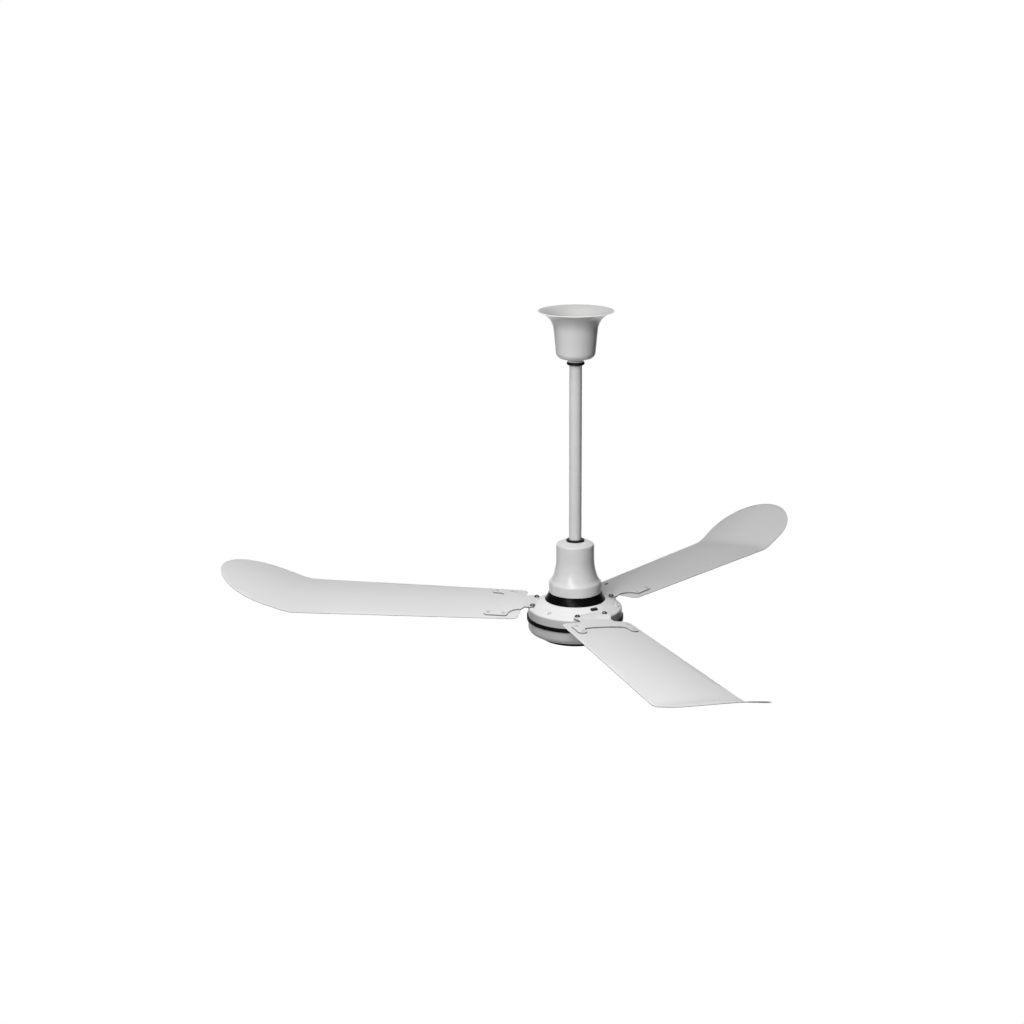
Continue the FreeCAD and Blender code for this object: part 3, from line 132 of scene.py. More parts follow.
def finish(name, look):
    material = bpy.data.materials.new(name)
    material.use_nodes = True
    tree = material.node_tree
    shader = tree.nodes["Principled BSDF"]
    place = tree.nodes.new("ShaderNodeTexCoord").outputs["Object"]
    coat = tree.nodes.new("ShaderNodeGroup")
    coat.node_tree = coatedGroup
    tree.links.new(place, coat.inputs["Vector"])
    coat.inputs["Colour"].default_value = (*look["colour"], 1)
    coat.inputs["Patch Colour"].default_value = (*look["patchColour"], 1)
    coat.inputs["Patch Scale"].default_value = look["patchScale"]
    coat.inputs["Grain Scale"].default_value = look["grainScale"]
    coat.inputs["Smoothest"].default_value = look["gloss"][0]
    coat.inputs["Roughest"].default_value = look["gloss"][1]
    colour = coat.outputs["Colour"]
    height = coat.outputs["Height"]
    # painted shade: below a set height over the motor plane the colour turns darker grey
    if "side" in look:
        rimShadeColour = tree.nodes.new("ShaderNodeRGB")
        rimShadeColour.outputs["Color"].default_value = (*look["side"]["colour"], 1)
        apart = tree.nodes.new("ShaderNodeSeparateXYZ")
        tree.links.new(place, apart.inputs["Vector"])
        fade = tree.nodes.new("ShaderNodeMapRange")
        fade.inputs["From Min"].default_value = motorZ + look["side"]["top"] - look["side"]["blend"]
        fade.inputs["From Max"].default_value = motorZ + look["side"]["top"] + look["side"]["blend"]
        tree.links.new(apart.outputs["Z"], fade.inputs["Value"])
        colour = mixColours(tree, fade.outputs["Result"], rimShadeColour.outputs["Color"], colour)
    if "layers" in look:
        layers = tree.nodes.new("ShaderNodeGroup")
        layers.node_tree = layerGroup
        tree.links.new(place, layers.inputs["Vector"])
        layers.inputs["Layer Scale"].default_value = look["layers"]["scale"]
        layers.inputs["Waviness"].default_value = look["layers"]["waviness"]
        dark = tree.nodes.new("ShaderNodeRGB")
        dark.outputs["Color"].default_value = (*look["layers"]["gapColour"], 1)
        colour = mixColours(tree, layers.outputs["Mask"], dark.outputs["Color"], colour)
        height = layers.outputs["Mask"]
    bump = tree.nodes.new("ShaderNodeBump")
    bump.inputs["Strength"].default_value = look["bump"]
    bump.inputs["Distance"].default_value = look["bumpDepth"]
    tree.links.new(height, bump.inputs["Height"])
    tree.links.new(bump.outputs["Normal"], shader.inputs["Normal"])
    tree.links.new(colour, shader.inputs["Base Color"])
    tree.links.new(coat.outputs["Roughness"], shader.inputs["Roughness"])
    for key, socket in plainSockets.items():
        if key in look:
            shader.inputs[socket].default_value = look[key]
    return material


def grey(level):
    return (level, level, level)


finishes = {
    "white_enamel": {
        "colour": grey(0.79), "patchColour": (0.755, 0.755, 0.75), "patchScale": 9, "grainScale": 420,
        "gloss": (0.24, 0.34), "bump": 0.06, "bumpDepth": 0.0004, "specular": 0.4,
    },
    "housing_enamel": {
        "colour": grey(0.93), "patchColour": (0.90, 0.90, 0.895), "patchScale": 12, "grainScale": 380,
        "gloss": (0.30, 0.42), "bump": 0.08, "bumpDepth": 0.0004, "specular": 0.3,
        "side": {"top": 0.0005, "blend": 0.0008, "colour": grey(0.64)},  # painted shade: darker grey on the walls under the rim
    },
    "blade_enamel": {
        "colour": grey(0.90), "patchColour": (0.87, 0.87, 0.865), "patchScale": 6, "grainScale": 320,
        "gloss": (0.42, 0.52), "bump": 0.06, "bumpDepth": 0.0004, "specular": 0.02,
    },
    "rivet_paint": {
        "colour": grey(0.62), "patchColour": grey(0.54), "patchScale": 140, "grainScale": 700,
        "gloss": (0.30, 0.42), "bump": 0.1, "bumpDepth": 0.0003, "specular": 0.4,
    },
    # painted shade: a darker grey for the canopy's inside
    "canopy_inside": {
        "colour": grey(0.57), "patchColour": (0.52, 0.52, 0.515), "patchScale": 14, "grainScale": 500,
        "gloss": (0.45, 0.6), "bump": 0.12, "bumpDepth": 0.0004, "specular": 0.25,
    },
    # painted shade: dark grey for the cut edges of sheets
    "sheet_edge": {
        "colour": grey(0.26), "patchColour": grey(0.20), "patchScale": 60, "grainScale": 700,
        "gloss": (0.45, 0.6), "bump": 0.15, "bumpDepth": 0.0003, "specular": 0.3,
    },
    "black_plastic": {
        "colour": grey(0.004), "patchColour": grey(0.006), "patchScale": 40, "grainScale": 900,
        "gloss": (0.24, 0.36), "bump": 0.12, "bumpDepth": 0.0003, "specular": 0.07,
    },
    "black_rubber": {
        "colour": grey(0.008), "patchColour": grey(0.014), "patchScale": 60, "grainScale": 1200,
        "gloss": (0.45, 0.62), "bump": 0.2, "bumpDepth": 0.0003, "specular": 0.14,
    },
    "lamination": {
        "colour": grey(0.010), "patchColour": grey(0.006), "patchScale": 30, "grainScale": 700,
        "gloss": (0.42, 0.56), "bump": 0.3, "bumpDepth": 0.0003, "specular": 0.14,
        "layers": {"scale": 160, "waviness": 0.2, "gapColour": grey(0.003)},
    },
    "zinc_steel": {
        "colour": (0.42, 0.43, 0.44), "patchColour": (0.35, 0.36, 0.38),
        "patchScale": 120, "grainScale": 900,
        "gloss": (0.28, 0.42), "bump": 0.1, "bumpDepth": 0.0003, "metal": 1,
    },
    # painted highlight: lighter steel for the iron screws' heads
    "screw_steel": {
        "colour": (0.22, 0.22, 0.225), "patchColour": (0.16, 0.16, 0.165),
        "patchScale": 120, "grainScale": 900,
        "gloss": (0.16, 0.26), "bump": 0.08, "bumpDepth": 0.0003, "metal": 1,
    },
    "dark_steel": {
        "colour": (0.030, 0.030, 0.031), "patchColour": grey(0.018),
        "patchScale": 90, "grainScale": 900,
        "gloss": (0.26, 0.40), "bump": 0.1, "bumpDepth": 0.0003, "metal": 0.6,
    },
    "turned_steel": {
        "colour": (0.48, 0.48, 0.49), "patchColour": (0.40, 0.40, 0.41),
        "patchScale": 70, "grainScale": 600,
        "gloss": (0.22, 0.34), "bump": 0.15, "bumpDepth": 0.0002, "metal": 1,
        "layers": {"scale": 260, "waviness": 0.4, "gapColour": (0.40, 0.40, 0.41)},
    },
    "bearing_steel": {
        "colour": (0.66, 0.66, 0.68), "patchColour": (0.60, 0.60, 0.62),
        "patchScale": 80, "grainScale": 900,
        "gloss": (0.10, 0.18), "bump": 0.03, "bumpDepth": 0.0002, "metal": 1,
    },
    "copper": {
        "colour": (0.55, 0.21, 0.09), "patchColour": (0.42, 0.15, 0.06),
        "patchScale": 60, "grainScale": 700,
        "gloss": (0.25, 0.40), "bump": 0.6, "bumpDepth": 0.0006,
        "metal": 0.8, "coat": 0.4, "coatRoughness": 0.1,
        "layers": {"scale": 210, "waviness": 1.5, "gapColour": (0.16, 0.05, 0.02)},
    },
    "cast_aluminium": {
        "colour": (0.62, 0.63, 0.64), "patchColour": (0.50, 0.51, 0.52),
        "patchScale": 50, "grainScale": 500,
        "gloss": (0.38, 0.55), "bump": 0.25, "bumpDepth": 0.0005, "metal": 1,
    },
    "capacitor_case": {
        "colour": (0.72, 0.72, 0.69), "patchColour": (0.66, 0.66, 0.63),
        "patchScale": 40, "grainScale": 800,
        "gloss": (0.22, 0.32), "bump": 0.08, "bumpDepth": 0.0003,
    },
    "terminal_plastic": {
        "colour": (0.74, 0.72, 0.65), "patchColour": (0.68, 0.66, 0.58),
        "patchScale": 60, "grainScale": 800,
        "gloss": (0.35, 0.5), "bump": 0.12, "bumpDepth": 0.0003,
    },
}
materials = {name: finish(name, look) for name, look in finishes.items()}
for part in frame["record"]["subparts"]:  # every carried-over node gets its slot's finish
    node = frame["nodes"][part["node"]]
    node.data.materials.clear()
    node.data.materials.append(materials[part["material_slot"]])
print("finishes made:", len(materials))


# Modelling helpers: sizes here and below are metres, and angles in dictionaries are degrees

sharpAngle = math.radians(32)
weldDistance = 1e-6
slideGap = 0.0003  # between the rod and what slides on it
gripGap = 0.00005  # between the rod and its rubber rings
sheetEdgeTilt = 0.4  # a face whose normal rises less than this is the cut edge of a sheet
domeTilt = 0.3  # one that rises more than this can be on a screw's dome
levelTilt = 0.9  # and one that rises more than this is level
leftTurn = 1  # the way an arc bends, seen along its outline
rightTurn = -1
edgeArc = 4  # straight steps that stand for an arc, from the least edge to the widest sweep
cornerArc = 6
roundArc = 8
bendArc = 10
bowlArc = 12
flareArc = 16
throatArc = 20


def bodyOf(node):
    bodies = frame["record"]["behaviour"]["bodies"]
    return next(name for name, members in bodies.items() if node in members)


def addPiece(name, bm, slot, *nodes, looks=()):  # looks: its finishes, where the slot's own isn't all
    mesh = bpy.data.meshes.new(name)
    bm.to_mesh(mesh)
    bm.free()
    mesh.shade_smooth()
    mesh.set_sharp_from_angle(angle=sharpAngle)
    for finishName in looks or [slot]:
        mesh.materials.append(materials[finishName])
    piece = bpy.data.objects.new(name, mesh)
    bpy.context.scene.collection.objects.link(piece)
    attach(piece, bodyOf(nodes[0]))
    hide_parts(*nodes)


def arcTo(points, end, radius, turn, count):
    start = Vector(points[-1])
    end = Vector(end)
    chord = end - start
    left = Vector((-chord.y, chord.x)).normalized()
    rise = math.sqrt(max(radius ** 2 - (chord.length / 2) ** 2, 0))
    centre = (start + end) / 2 + left * rise * turn
    first = math.atan2(start.y - centre.y, start.x - centre.x)
    sweep = 2 * math.asin(min(1, chord.length / 2 / radius)) * turn
    for step in range(1, count + 1):
        angle = first + sweep * step / count
        points.append((centre.x + radius * math.cos(angle), centre.y + radius * math.sin(angle)))


def spinProfile(bm, profile, steps, closed=True):
    verts = [bm.verts.new((radius, 0, height)) for radius, height in profile]
    pairs = list(zip(verts, verts[1:]))
    if closed:
        pairs.append((verts[-1], verts[0]))
    edges = [bm.edges.new(pair) for pair in pairs]
    bmesh.ops.spin(bm, geom=verts + edges, cent=(0, 0, 0), axis=(0, 0, 1), angle=2 * math.pi, steps=steps,
                   use_merge=True)
    bmesh.ops.remove_doubles(bm, verts=bm.verts[:], dist=weldDistance)
    bmesh.ops.recalc_face_normals(bm, faces=bm.faces[:])


def turnedPiece(name, profile, steps, slot, *nodes):
    bm = bmesh.new()
    spinProfile(bm, profile, steps)
    addPiece(name, bm, slot, *nodes)


# Canopy, rod, motor cover and the rubber rings on the rod

canopyShape = {
    "wall": 0.0015, "rimEdge": 0.0012, "rimFace": 0.002, "flareRadius": 0.0419, "throatRadius": 0.0439,
    "throatDepth": 0.037, "footRadius": 0.0396, "footRound": 0.014, "height": 0.096, "neckRadius": 0.0165,
    "neckRound": 0.0012, "steps": 128,
}


def makeCanopy():
    c = canopyShape
    low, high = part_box("canopy")
    rim = high.x
    top = high.z
    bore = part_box("downrod")[1].x + slideGap
    foot = top - c["height"]
    inside = c["footRadius"] - c["footRound"]
    profile = [(bore, low.z), (c["neckRadius"] - c["neckRound"], low.z)]
    arcTo(profile, (c["neckRadius"], low.z + c["neckRound"]), c["neckRound"], leftTurn, edgeArc)
    profile.append((c["neckRadius"], foot))
    profile.append((inside, foot))
    arcTo(profile, (c["footRadius"], foot + c["footRound"]), c["footRound"], leftTurn, bowlArc)
    profile.append((c["throatRadius"], top - c["throatDepth"]))
    arcTo(profile, (rim, top - c["rimEdge"]), c["flareRadius"], rightTurn, throatArc)
    arcTo(profile, (rim - c["rimFace"], top), c["rimFace"], leftTurn, edgeArc)
    throat = (c["throatRadius"] - c["wall"], top - c["throatDepth"])
    arcTo(profile, throat, c["flareRadius"] + c["wall"], leftTurn, throatArc)
    profile.append((c["footRadius"] - c["wall"], foot + c["footRound"]))
    arcTo(profile, (inside, foot + c["wall"]), c["footRound"] - c["wall"], rightTurn, bendArc)
    profile.append((bore, foot + c["wall"]))
    bm = bmesh.new()
    spinProfile(bm, profile, c["steps"])
    for face in bm.faces:  # the inside and its floor take a darker grey, painted shade in the hollow
        centre = face.calc_center_median()
        inward = face.normal.xy.dot(centre.xy) < 0
        onFloor = face.normal.z > levelTilt and centre.z < foot + c["footRound"]
        face.material_index = 1 if inward or onFloor else 0
    addPiece("canopyShell", bm, "white_enamel", "canopy", looks=["white_enamel", "canopy_inside"])


gripRingShape = {"round": 0.002, "steps": 72}
sealRingShape = {"round": 0.0018, "steps": 72}


def makeRubberRing(name, node, c):  # a bulged ring between a node's two ends
    low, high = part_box(node)
    roundness = c["round"]
    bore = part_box("downrod")[1].x + gripGap
    profile = [(bore, low.z), (high.x - roundness, low.z)]
    arcTo(profile, (high.x, low.z + roundness), roundness, leftTurn, cornerArc)
    if high.z - low.z > 2 * roundness:
        profile.append((high.x, high.z - roundness))
    arcTo(profile, (high.x - roundness, high.z), roundness, leftTurn, cornerArc)
    profile.append((bore, high.z))
    turnedPiece(name, profile, c["steps"], "black_rubber", node)


rodShape = {"bore": 0.0102, "edge": 0.0008, "steps": 64}


def makeRod():
    low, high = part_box("downrod")
    radius = high.x
    edge = rodShape["edge"]
    profile = [
        (rodShape["bore"], low.z), (radius - edge, low.z), (radius, low.z + edge),
        (radius, high.z - edge), (radius - edge, high.z), (rodShape["bore"], high.z),
    ]
    turnedPiece("rodTube", profile, rodShape["steps"], "white_enamel", "downrod")


coverShape = {
    "wall": 0.0015, "footHeight": 0.018, "footEdge": 0.0006, "shoulderRadius": 0.0065,
    "ledgeAngle": 47, "ledgeRadius": 0.020, "flareAngle": 22, "neckRadius": 0.0387,
    "topRound": 0.0035, "crownRadius": 0.026, "crownHeight": 0.0048, "steps": 128,
}


def makeCover():
    c = coverShape
    low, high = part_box("motor_cover")
    foot = high.x
    wall = c["wall"]
    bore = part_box("downrod")[1].x + slideGap
    neck = c["neckRadius"]
    topRound = c["topRound"]
    shoulder = c["shoulderRadius"]
    shoulderZ = low.z + c["footHeight"]
    ledgeCos = math.cos(math.radians(c["ledgeAngle"]))
    ledgeSin = math.sin(math.radians(c["ledgeAngle"]))
    flareCos = math.cos(math.radians(c["flareAngle"]))
    flareSin = math.sin(math.radians(c["flareAngle"]))
    ledgeR = foot - shoulder * (1 - ledgeCos)  # where the shoulder's round meets the ledge
    ledgeZ = shoulderZ + shoulder * ledgeSin
    flareR = ledgeR - c["ledgeRadius"] * (flareCos - ledgeCos)  # where the ledge meets the long flare
    flareZ = ledgeZ + c["ledgeRadius"] * (ledgeSin - flareSin)
    flare = (flareR - neck) / (1 - flareCos)
    flareTop = flareZ + flare * flareSin
    profile = [(foot - c["footEdge"], low.z), (foot, low.z + c["footEdge"]), (foot, shoulderZ)]
    arcTo(profile, (ledgeR, ledgeZ), shoulder, leftTurn, roundArc)
    arcTo(profile, (flareR, flareZ), c["ledgeRadius"], rightTurn, roundArc)
    arcTo(profile, (neck, flareTop), flare, rightTurn, flareArc)
    crownFoot = high.z - c["crownHeight"]
    profile.append((neck, crownFoot - topRound))
    arcTo(profile, (neck - topRound, crownFoot), topRound, leftTurn, bendArc)
    profile += [
        (c["crownRadius"], high.z), (bore, high.z), (bore, high.z - wall),
        (c["crownRadius"], high.z - wall), (neck - topRound, crownFoot - wall),
    ]
    arcTo(profile, (neck - wall, crownFoot - topRound), topRound - wall, rightTurn, roundArc)
    profile.append((neck - wall, flareTop))
    flareInside = (flareR - wall * flareCos, flareZ - wall * flareSin)
    ledgeInside = (ledgeR - wall * ledgeCos, ledgeZ - wall * ledgeSin)
    arcTo(profile, flareInside, flare + wall, leftTurn, flareArc)
    arcTo(profile, ledgeInside, c["ledgeRadius"] + wall, leftTurn, roundArc)
    arcTo(profile, (foot - wall, shoulderZ), shoulder - wall, rightTurn, roundArc)
    profile.append((foot - wall, low.z))
    turnedPiece("coverBell", profile, c["steps"], "white_enamel", "motor_cover")


makeCanopy()
makeRubberRing("canopyGripRing", "canopy_ring", gripRingShape)
makeRod()
makeCover()
makeRubberRing("coverSealRing", "motor_cover_seal", sealRingShape)
print("suspension made")


# Motor: base ring, lower housing and bottom cap

baseRingShape = {
    "skirtCurve": 0.040, "seatRadius": 0.054, "lipRadius": 0.0517, "wall": 0.003,
    "webHeight": 0.029, "webThickness": 0.004, "seatHeight": 0.0345, "boreRadius": 0.01002, "steps": 128,
}


def makeBaseRing():
    c = baseRingShape
    low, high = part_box("base_ring")
    skirt = high.x
    seat = motorZ + c["seatHeight"]
    web = motorZ + c["webHeight"]
    inner = c["lipRadius"] - c["wall"]
    profile = [(c["boreRadius"], web), (inner, web), (skirt - c["wall"], low.z), (skirt, low.z)]
    arcTo(profile, (c["seatRadius"], seat), c["skirtCurve"], rightTurn, bowlArc)
    profile += [
        (c["lipRadius"], seat), (c["lipRadius"], high.z), (inner, high.z),
        (inner, web + c["webThickness"]), (c["boreRadius"], web + c["webThickness"]),
    ]
    turnedPiece("flaredRing", profile, c["steps"], "black_plastic", "base_ring")


lowerShape = {
    "wall": 0.0035, "round": 0.012, "floorHole": 0.0125, "pocketRadius": 0.02002, "bossWall": 0.004,
    "pocketDepth": 0.012, "edge": 0.0006, "steps": 128,
}


def makeLowerHousing():
    c = lowerShape
    low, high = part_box("lower_housing")
    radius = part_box("upper_housing")[1].x
    wall = c["wall"]
    roundTop = low.z + c["round"]
    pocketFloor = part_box("lower_bearing_outer")[0].z
    pocketTop = pocketFloor + c["pocketDepth"]
    boss = c["pocketRadius"] + c["bossWall"]
    profile = [(c["floorHole"], low.z), (radius - c["round"], low.z)]
    arcTo(profile, (radius, roundTop), c["round"], leftTurn, bowlArc)
    profile += [(radius, high.z - c["edge"]), (radius - c["edge"], high.z), (radius - wall, high.z)]
    profile.append((radius - wall, roundTop))
    arcTo(profile, (radius - c["round"], low.z + wall), c["round"] - wall, rightTurn, roundArc)
    profile += [
        (boss, low.z + wall), (boss, pocketTop), (c["pocketRadius"], pocketTop),
        (c["pocketRadius"], pocketFloor), (c["floorHole"], pocketFloor),
    ]
    turnedPiece("lowerShell", profile, c["steps"], "housing_enamel", "lower_housing")


capShape = {"round": 0.0022, "dishRadius": 0.030, "dishDepth": 0.0012, "steps": 96}


def makeBottomCap():
    c = capShape
    low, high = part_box("bottom_cap")
    radius = high.x
    dish = c["dishRadius"]
    dishTop = low.z + c["dishDepth"]
    profile = [(0, dishTop), (dish - c["dishDepth"], dishTop), (dish, low.z), (radius - c["round"], low.z)]
    arcTo(profile, (radius, low.z + c["round"]), c["round"], leftTurn, cornerArc)
    profile += [(radius, high.z), (0, high.z)]
    bm = bmesh.new()
    spinProfile(bm, profile, c["steps"], closed=False)
    addPiece("capDisc", bm, "black_plastic", "bottom_cap")


makeBaseRing()
makeLowerHousing()
makeBottomCap()
print("motor made")


# Blades and blade irons

rotorShape = {"phase": 52.4, "count": 3}  # degrees to the first blade, and how many
bladeShape = {
    "rootRadius": 0.108, "rootHalf": 0.0735, "rootCorner": 0.014, "foldRadius": 0.584, "tipHalf": 0.0925,
    "tipLength": 0.105, "tipRadius": 0.748, "offset": -0.0015, "camber": 0.700, "thickness": 0.0012,
    "crest": 0.0031, "pitch": 5.5, "fold": 19, "bend": 0.090, "edge": 0.0003, "tipSteps": 48,
    "lengthCuts": 40, "acrossCuts": 12, "foldPasses": 3,
}


def headings():
    return [math.radians(rotorShape["phase"] + 360 * index / rotorShape["count"])
            for index in range(rotorShape["count"])]


def toRotor(heading):  # from a blade's own length, width and height to the frame
    return Matrix.Translation((0, 0, motorZ)) @ Matrix.Rotation(heading, 4, "Z")


def flatPlate(outline, thickness, edge):
    bm = bmesh.new()
    face = bm.faces.new([bm.verts.new((u, v, 0)) for u, v in outline])
    bmesh.ops.recalc_face_normals(bm, faces=[face])
    made = bmesh.ops.extrude_face_region(bm, geom=[face])
    lifted = [item for item in made["geom"] if isinstance(item, bmesh.types.BMVert)]
    bmesh.ops.translate(bm, verts=lifted, vec=(0, 0, thickness))
    bmesh.ops.recalc_face_normals(bm, faces=bm.faces[:])
    rims = [item for item in bm.edges if abs(item.verts[0].co.z - item.verts[1].co.z) < weldDistance]
    bmesh.ops.bevel(bm, geom=rims, offset=edge, offset_type="OFFSET", affect="EDGES", segments=2,
                    profile=0.5, material=-1)
    return bm


def shadeRim(bm):  # the cut edge of a sheet takes the second finish, a dark grey that is painted shade along the rims
    bm.normal_update()
    for face in bm.faces:
        face.material_index = 1 if abs(face.normal.z) < sheetEdgeTilt else 0


def cutAcross(bm, axis, places):
    normal = Vector((1, 0, 0)) if axis == "u" else Vector((0, 1, 0))
    for place in places:
        geom = bm.verts[:] + bm.edges[:] + bm.faces[:]
        bmesh.ops.bisect_plane(bm, geom=geom, dist=weldDistance, plane_co=normal * place, plane_no=normal)


def evenly(first, last, count):
    return [first + (last - first) * (step + 0.5) / count for step in range(count)]


def bladeOutline():
    b = bladeShape
    half = b["tipHalf"]
    side = b["tipRadius"] - b["tipLength"]
    points = []
    for step in range(b["tipSteps"] + 1):  # oval end
        angle = math.pi * (step / b["tipSteps"] - 0.5)
        points.append((side + b["tipLength"] * math.cos(angle), b["offset"] + half * math.sin(angle)))
    slope = (half - b["rootHalf"]) / (side - b["rootRadius"])
    start = b["rootRadius"] + b["rootCorner"]
    rootSide = b["rootHalf"] + slope * b["rootCorner"]
    points.append((start, b["offset"] + rootSide))
    rootEnd = (b["rootRadius"], b["offset"] + b["rootHalf"] - b["rootCorner"])
    arcTo(points, rootEnd, b["rootCorner"], leftTurn, roundArc)
    points.append((b["rootRadius"], b["offset"] - b["rootHalf"] + b["rootCorner"]))
    arcTo(points, (start, b["offset"] - rootSide), b["rootCorner"], leftTurn, roundArc)
    return points


def spineAt(u):  # height and slope of the blade's middle line
    b = bladeShape
    fold = math.radians(b["fold"])
    foldStart = b["foldRadius"] - b["bend"] * math.tan(fold / 2)
    if u <= foldStart:
        return 0, 0
    if u < foldStart + b["bend"] * math.sin(fold):
        angle = math.asin((u - foldStart) / b["bend"])
        return b["bend"] * (1 - math.cos(angle)), angle
    return (u - b["foldRadius"]) * math.tan(fold), fold


def onBlade(u, v, depth):
    b = bladeShape
    lean = math.sqrt(b["camber"] ** 2 - v ** 2) - b["camber"] - depth
    along = u
    for _ in range(b["foldPasses"]):  # the place on the middle line that this point stands square to
        height, angle = spineAt(along)
        along = u + lean * math.sin(angle)
    height += lean * math.cos(angle)
    pitch = math.radians(b["pitch"])
    return Vector((u, v * math.cos(pitch) + height * math.sin(pitch),
                   height * math.cos(pitch) - v * math.sin(pitch) + b["crest"]))


def makeBlade(index, heading):
    b = bladeShape
    bm = flatPlate(bladeOutline(), b["thickness"], b["edge"])
    shadeRim(bm)
    wide = b["tipHalf"] + abs(b["offset"])
    cutAcross(bm, "u", evenly(b["rootRadius"], b["tipRadius"], b["lengthCuts"]))
    cutAcross(bm, "v", evenly(-wide, wide, b["acrossCuts"]))
    for vert in bm.verts:
        vert.co = onBlade(vert.co.x, vert.co.y, b["thickness"] - vert.co.z)
    bmesh.ops.transform(bm, matrix=toRotor(heading), verts=bm.verts[:])
    addPiece(f"bladeSheet.{index}", bm, "blade_enamel", f"blade_{index}",
             looks=["blade_enamel", "sheet_edge"])


ironShape = {
    "innerRadius": 0.079, "tongueHalf": 0.0385, "corner": 0.010, "tongueEnd": 0.095, "notchRadius": 0.024,
    "forkStart": 0.131, "forkHalf": 0.064, "forkCorner": 0.007, "forkShoulder": 0.003, "prongEnd": 0.181,
    "prongWidth": 0.018, "webEnd": 0.154, "webRound": 0.012, "bendStart": 0.098, "bendEnd": 0.1075,
    "seatHeight": 0.0055, "thickness": 0.003, "clearance": 0.00005, "edge": 0.0006, "lengthCuts": 16,
    "acrossCuts": 14,
}


def ironOutline():
    c = ironShape
    prongRound = c["prongWidth"] / 2
    prongInner = c["forkHalf"] - c["prongWidth"]
    prongStart = c["prongEnd"] - prongRound
    half = [(c["innerRadius"], c["tongueHalf"] - c["corner"])]
    arcTo(half, (c["innerRadius"] + c["corner"], c["tongueHalf"]), c["corner"], rightTurn, cornerArc)
    half.append((c["tongueEnd"], c["tongueHalf"]))
    forkSide = c["forkHalf"] - c["forkCorner"]
    arcTo(half, (c["forkStart"], forkSide - c["forkShoulder"]), c["notchRadius"], leftTurn, bendArc)
    half.append((c["forkStart"], forkSide))
    arcTo(half, (c["forkStart"] + c["forkCorner"], c["forkHalf"]), c["forkCorner"], rightTurn, cornerArc)
    half.append((prongStart, c["forkHalf"]))
    arcTo(half, (c["prongEnd"], c["forkHalf"] - prongRound), prongRound, rightTurn, cornerArc)
    arcTo(half, (prongStart, prongInner), prongRound, rightTurn, cornerArc)
    half.append((c["webEnd"] + c["webRound"], prongInner))
    arcTo(half, (c["webEnd"], prongInner - c["webRound"]), c["webRound"], leftTurn, cornerArc)
    return half + [(u, -v) for u, v in reversed(half)]


def camberHeight(radius, v):
    pitch = math.radians(bladeShape["pitch"])
    across = v + bladeShape["camber"] * math.sin(pitch)
    sag = math.sqrt(radius ** 2 - across ** 2) - bladeShape["camber"] * math.cos(pitch)
    return bladeShape["crest"] + sag


def onIron(u, v, lift):
    c = ironShape
    level = c["seatHeight"] + lift
    cambered = camberHeight(bladeShape["camber"] + c["clearance"] + lift, v)
    share = min(1, max(0, (u - c["bendStart"]) / (c["bendEnd"] - c["bendStart"])))
    return Vector((u, v, level + (cambered - level) * share))


def makeIron(index, heading):
    c = ironShape
    bm = flatPlate(ironOutline(), c["thickness"], c["edge"])
    shadeRim(bm)
    cutAcross(bm, "u", [c["bendStart"], c["bendEnd"]])
    cutAcross(bm, "u", evenly(c["innerRadius"], c["prongEnd"], c["lengthCuts"]))
    cutAcross(bm, "v", evenly(-c["forkHalf"], c["forkHalf"], c["acrossCuts"]))
    for vert in bm.verts:
        vert.co = onIron(vert.co.x, vert.co.y, vert.co.z)
    bmesh.ops.transform(bm, matrix=toRotor(heading), verts=bm.verts[:])
    addPiece(f"forkIron.{index}", bm, "white_enamel", f"blade_iron_{index}",
             looks=["blade_enamel", "sheet_edge"])


for number, heading in enumerate(headings(), start=1):
    makeBlade(number, heading)
    makeIron(number, heading)
print("blades made")


# Screws, rivets and the balance weight

fastenerSteps = 24
crossShape = {"length": 0.62, "width": 0.17, "depth": 0.34}  # shares of the head's radius and height


def screwBody(c, length):  # a domed head seated at z 0 on its shank
    head = c["head"]
    top = c["headHeight"]
    rise = top - c["wallHeight"]
    profile = [(0, -length), (c["shank"], -length), (c["shank"], 0), (c["flange"], 0)]
    profile += [(c["flange"], c["flangeHeight"]), (head, c["flangeHeight"]), (head, c["wallHeight"])]
    arcTo(profile, (0, top), (head ** 2 + rise ** 2) / (2 * rise), leftTurn, roundArc)
    bm = bmesh.new()
    spinProfile(bm, profile, fastenerSteps, closed=False)
    reach = crossShape["length"] * head  # a cross inside the head, under the dome's own faces
    arm = crossShape["width"] * head
    for axis in ("u", "v"):
        cutAcross(bm, axis, [-reach, -arm, arm, reach])
    sunk = []
    for face in bm.faces:
        centre = face.calc_center_median()
        near, far = sorted((abs(centre.x), abs(centre.y)))
        onDome = face.normal.z > domeTilt and centre.z > c["wallHeight"]
        if onDome and near < arm and far < reach:
            sunk.append(face)
    made = bmesh.ops.extrude_face_region(bm, geom=sunk)
    lowered = [item for item in made["geom"] if isinstance(item, bmesh.types.BMVert)]
    bmesh.ops.translate(bm, verts=lowered, vec=(0, 0, -crossShape["depth"] * top))
    return bm


def repeatAt(bm, places):
    first = bm.verts[:]
    whole = bm.verts[:] + bm.edges[:] + bm.faces[:]
    for place in places[1:]:
        copied = bmesh.ops.duplicate(bm, geom=whole)["geom"]
        moved = [item for item in copied if isinstance(item, bmesh.types.BMVert)]
        bmesh.ops.transform(bm, matrix=place, verts=moved)
    bmesh.ops.transform(bm, matrix=places[0], verts=first)


ironScrewShape = {
    "shank": 0.003, "flange": 0.0055, "flangeHeight": 0.0010, "head": 0.0049, "wallHeight": 0.0017,
    "headHeight": 0.0044, "collarEdge": 0.0001, "u": 0.084, "v": 0.0295, "height": 0.0085,
}


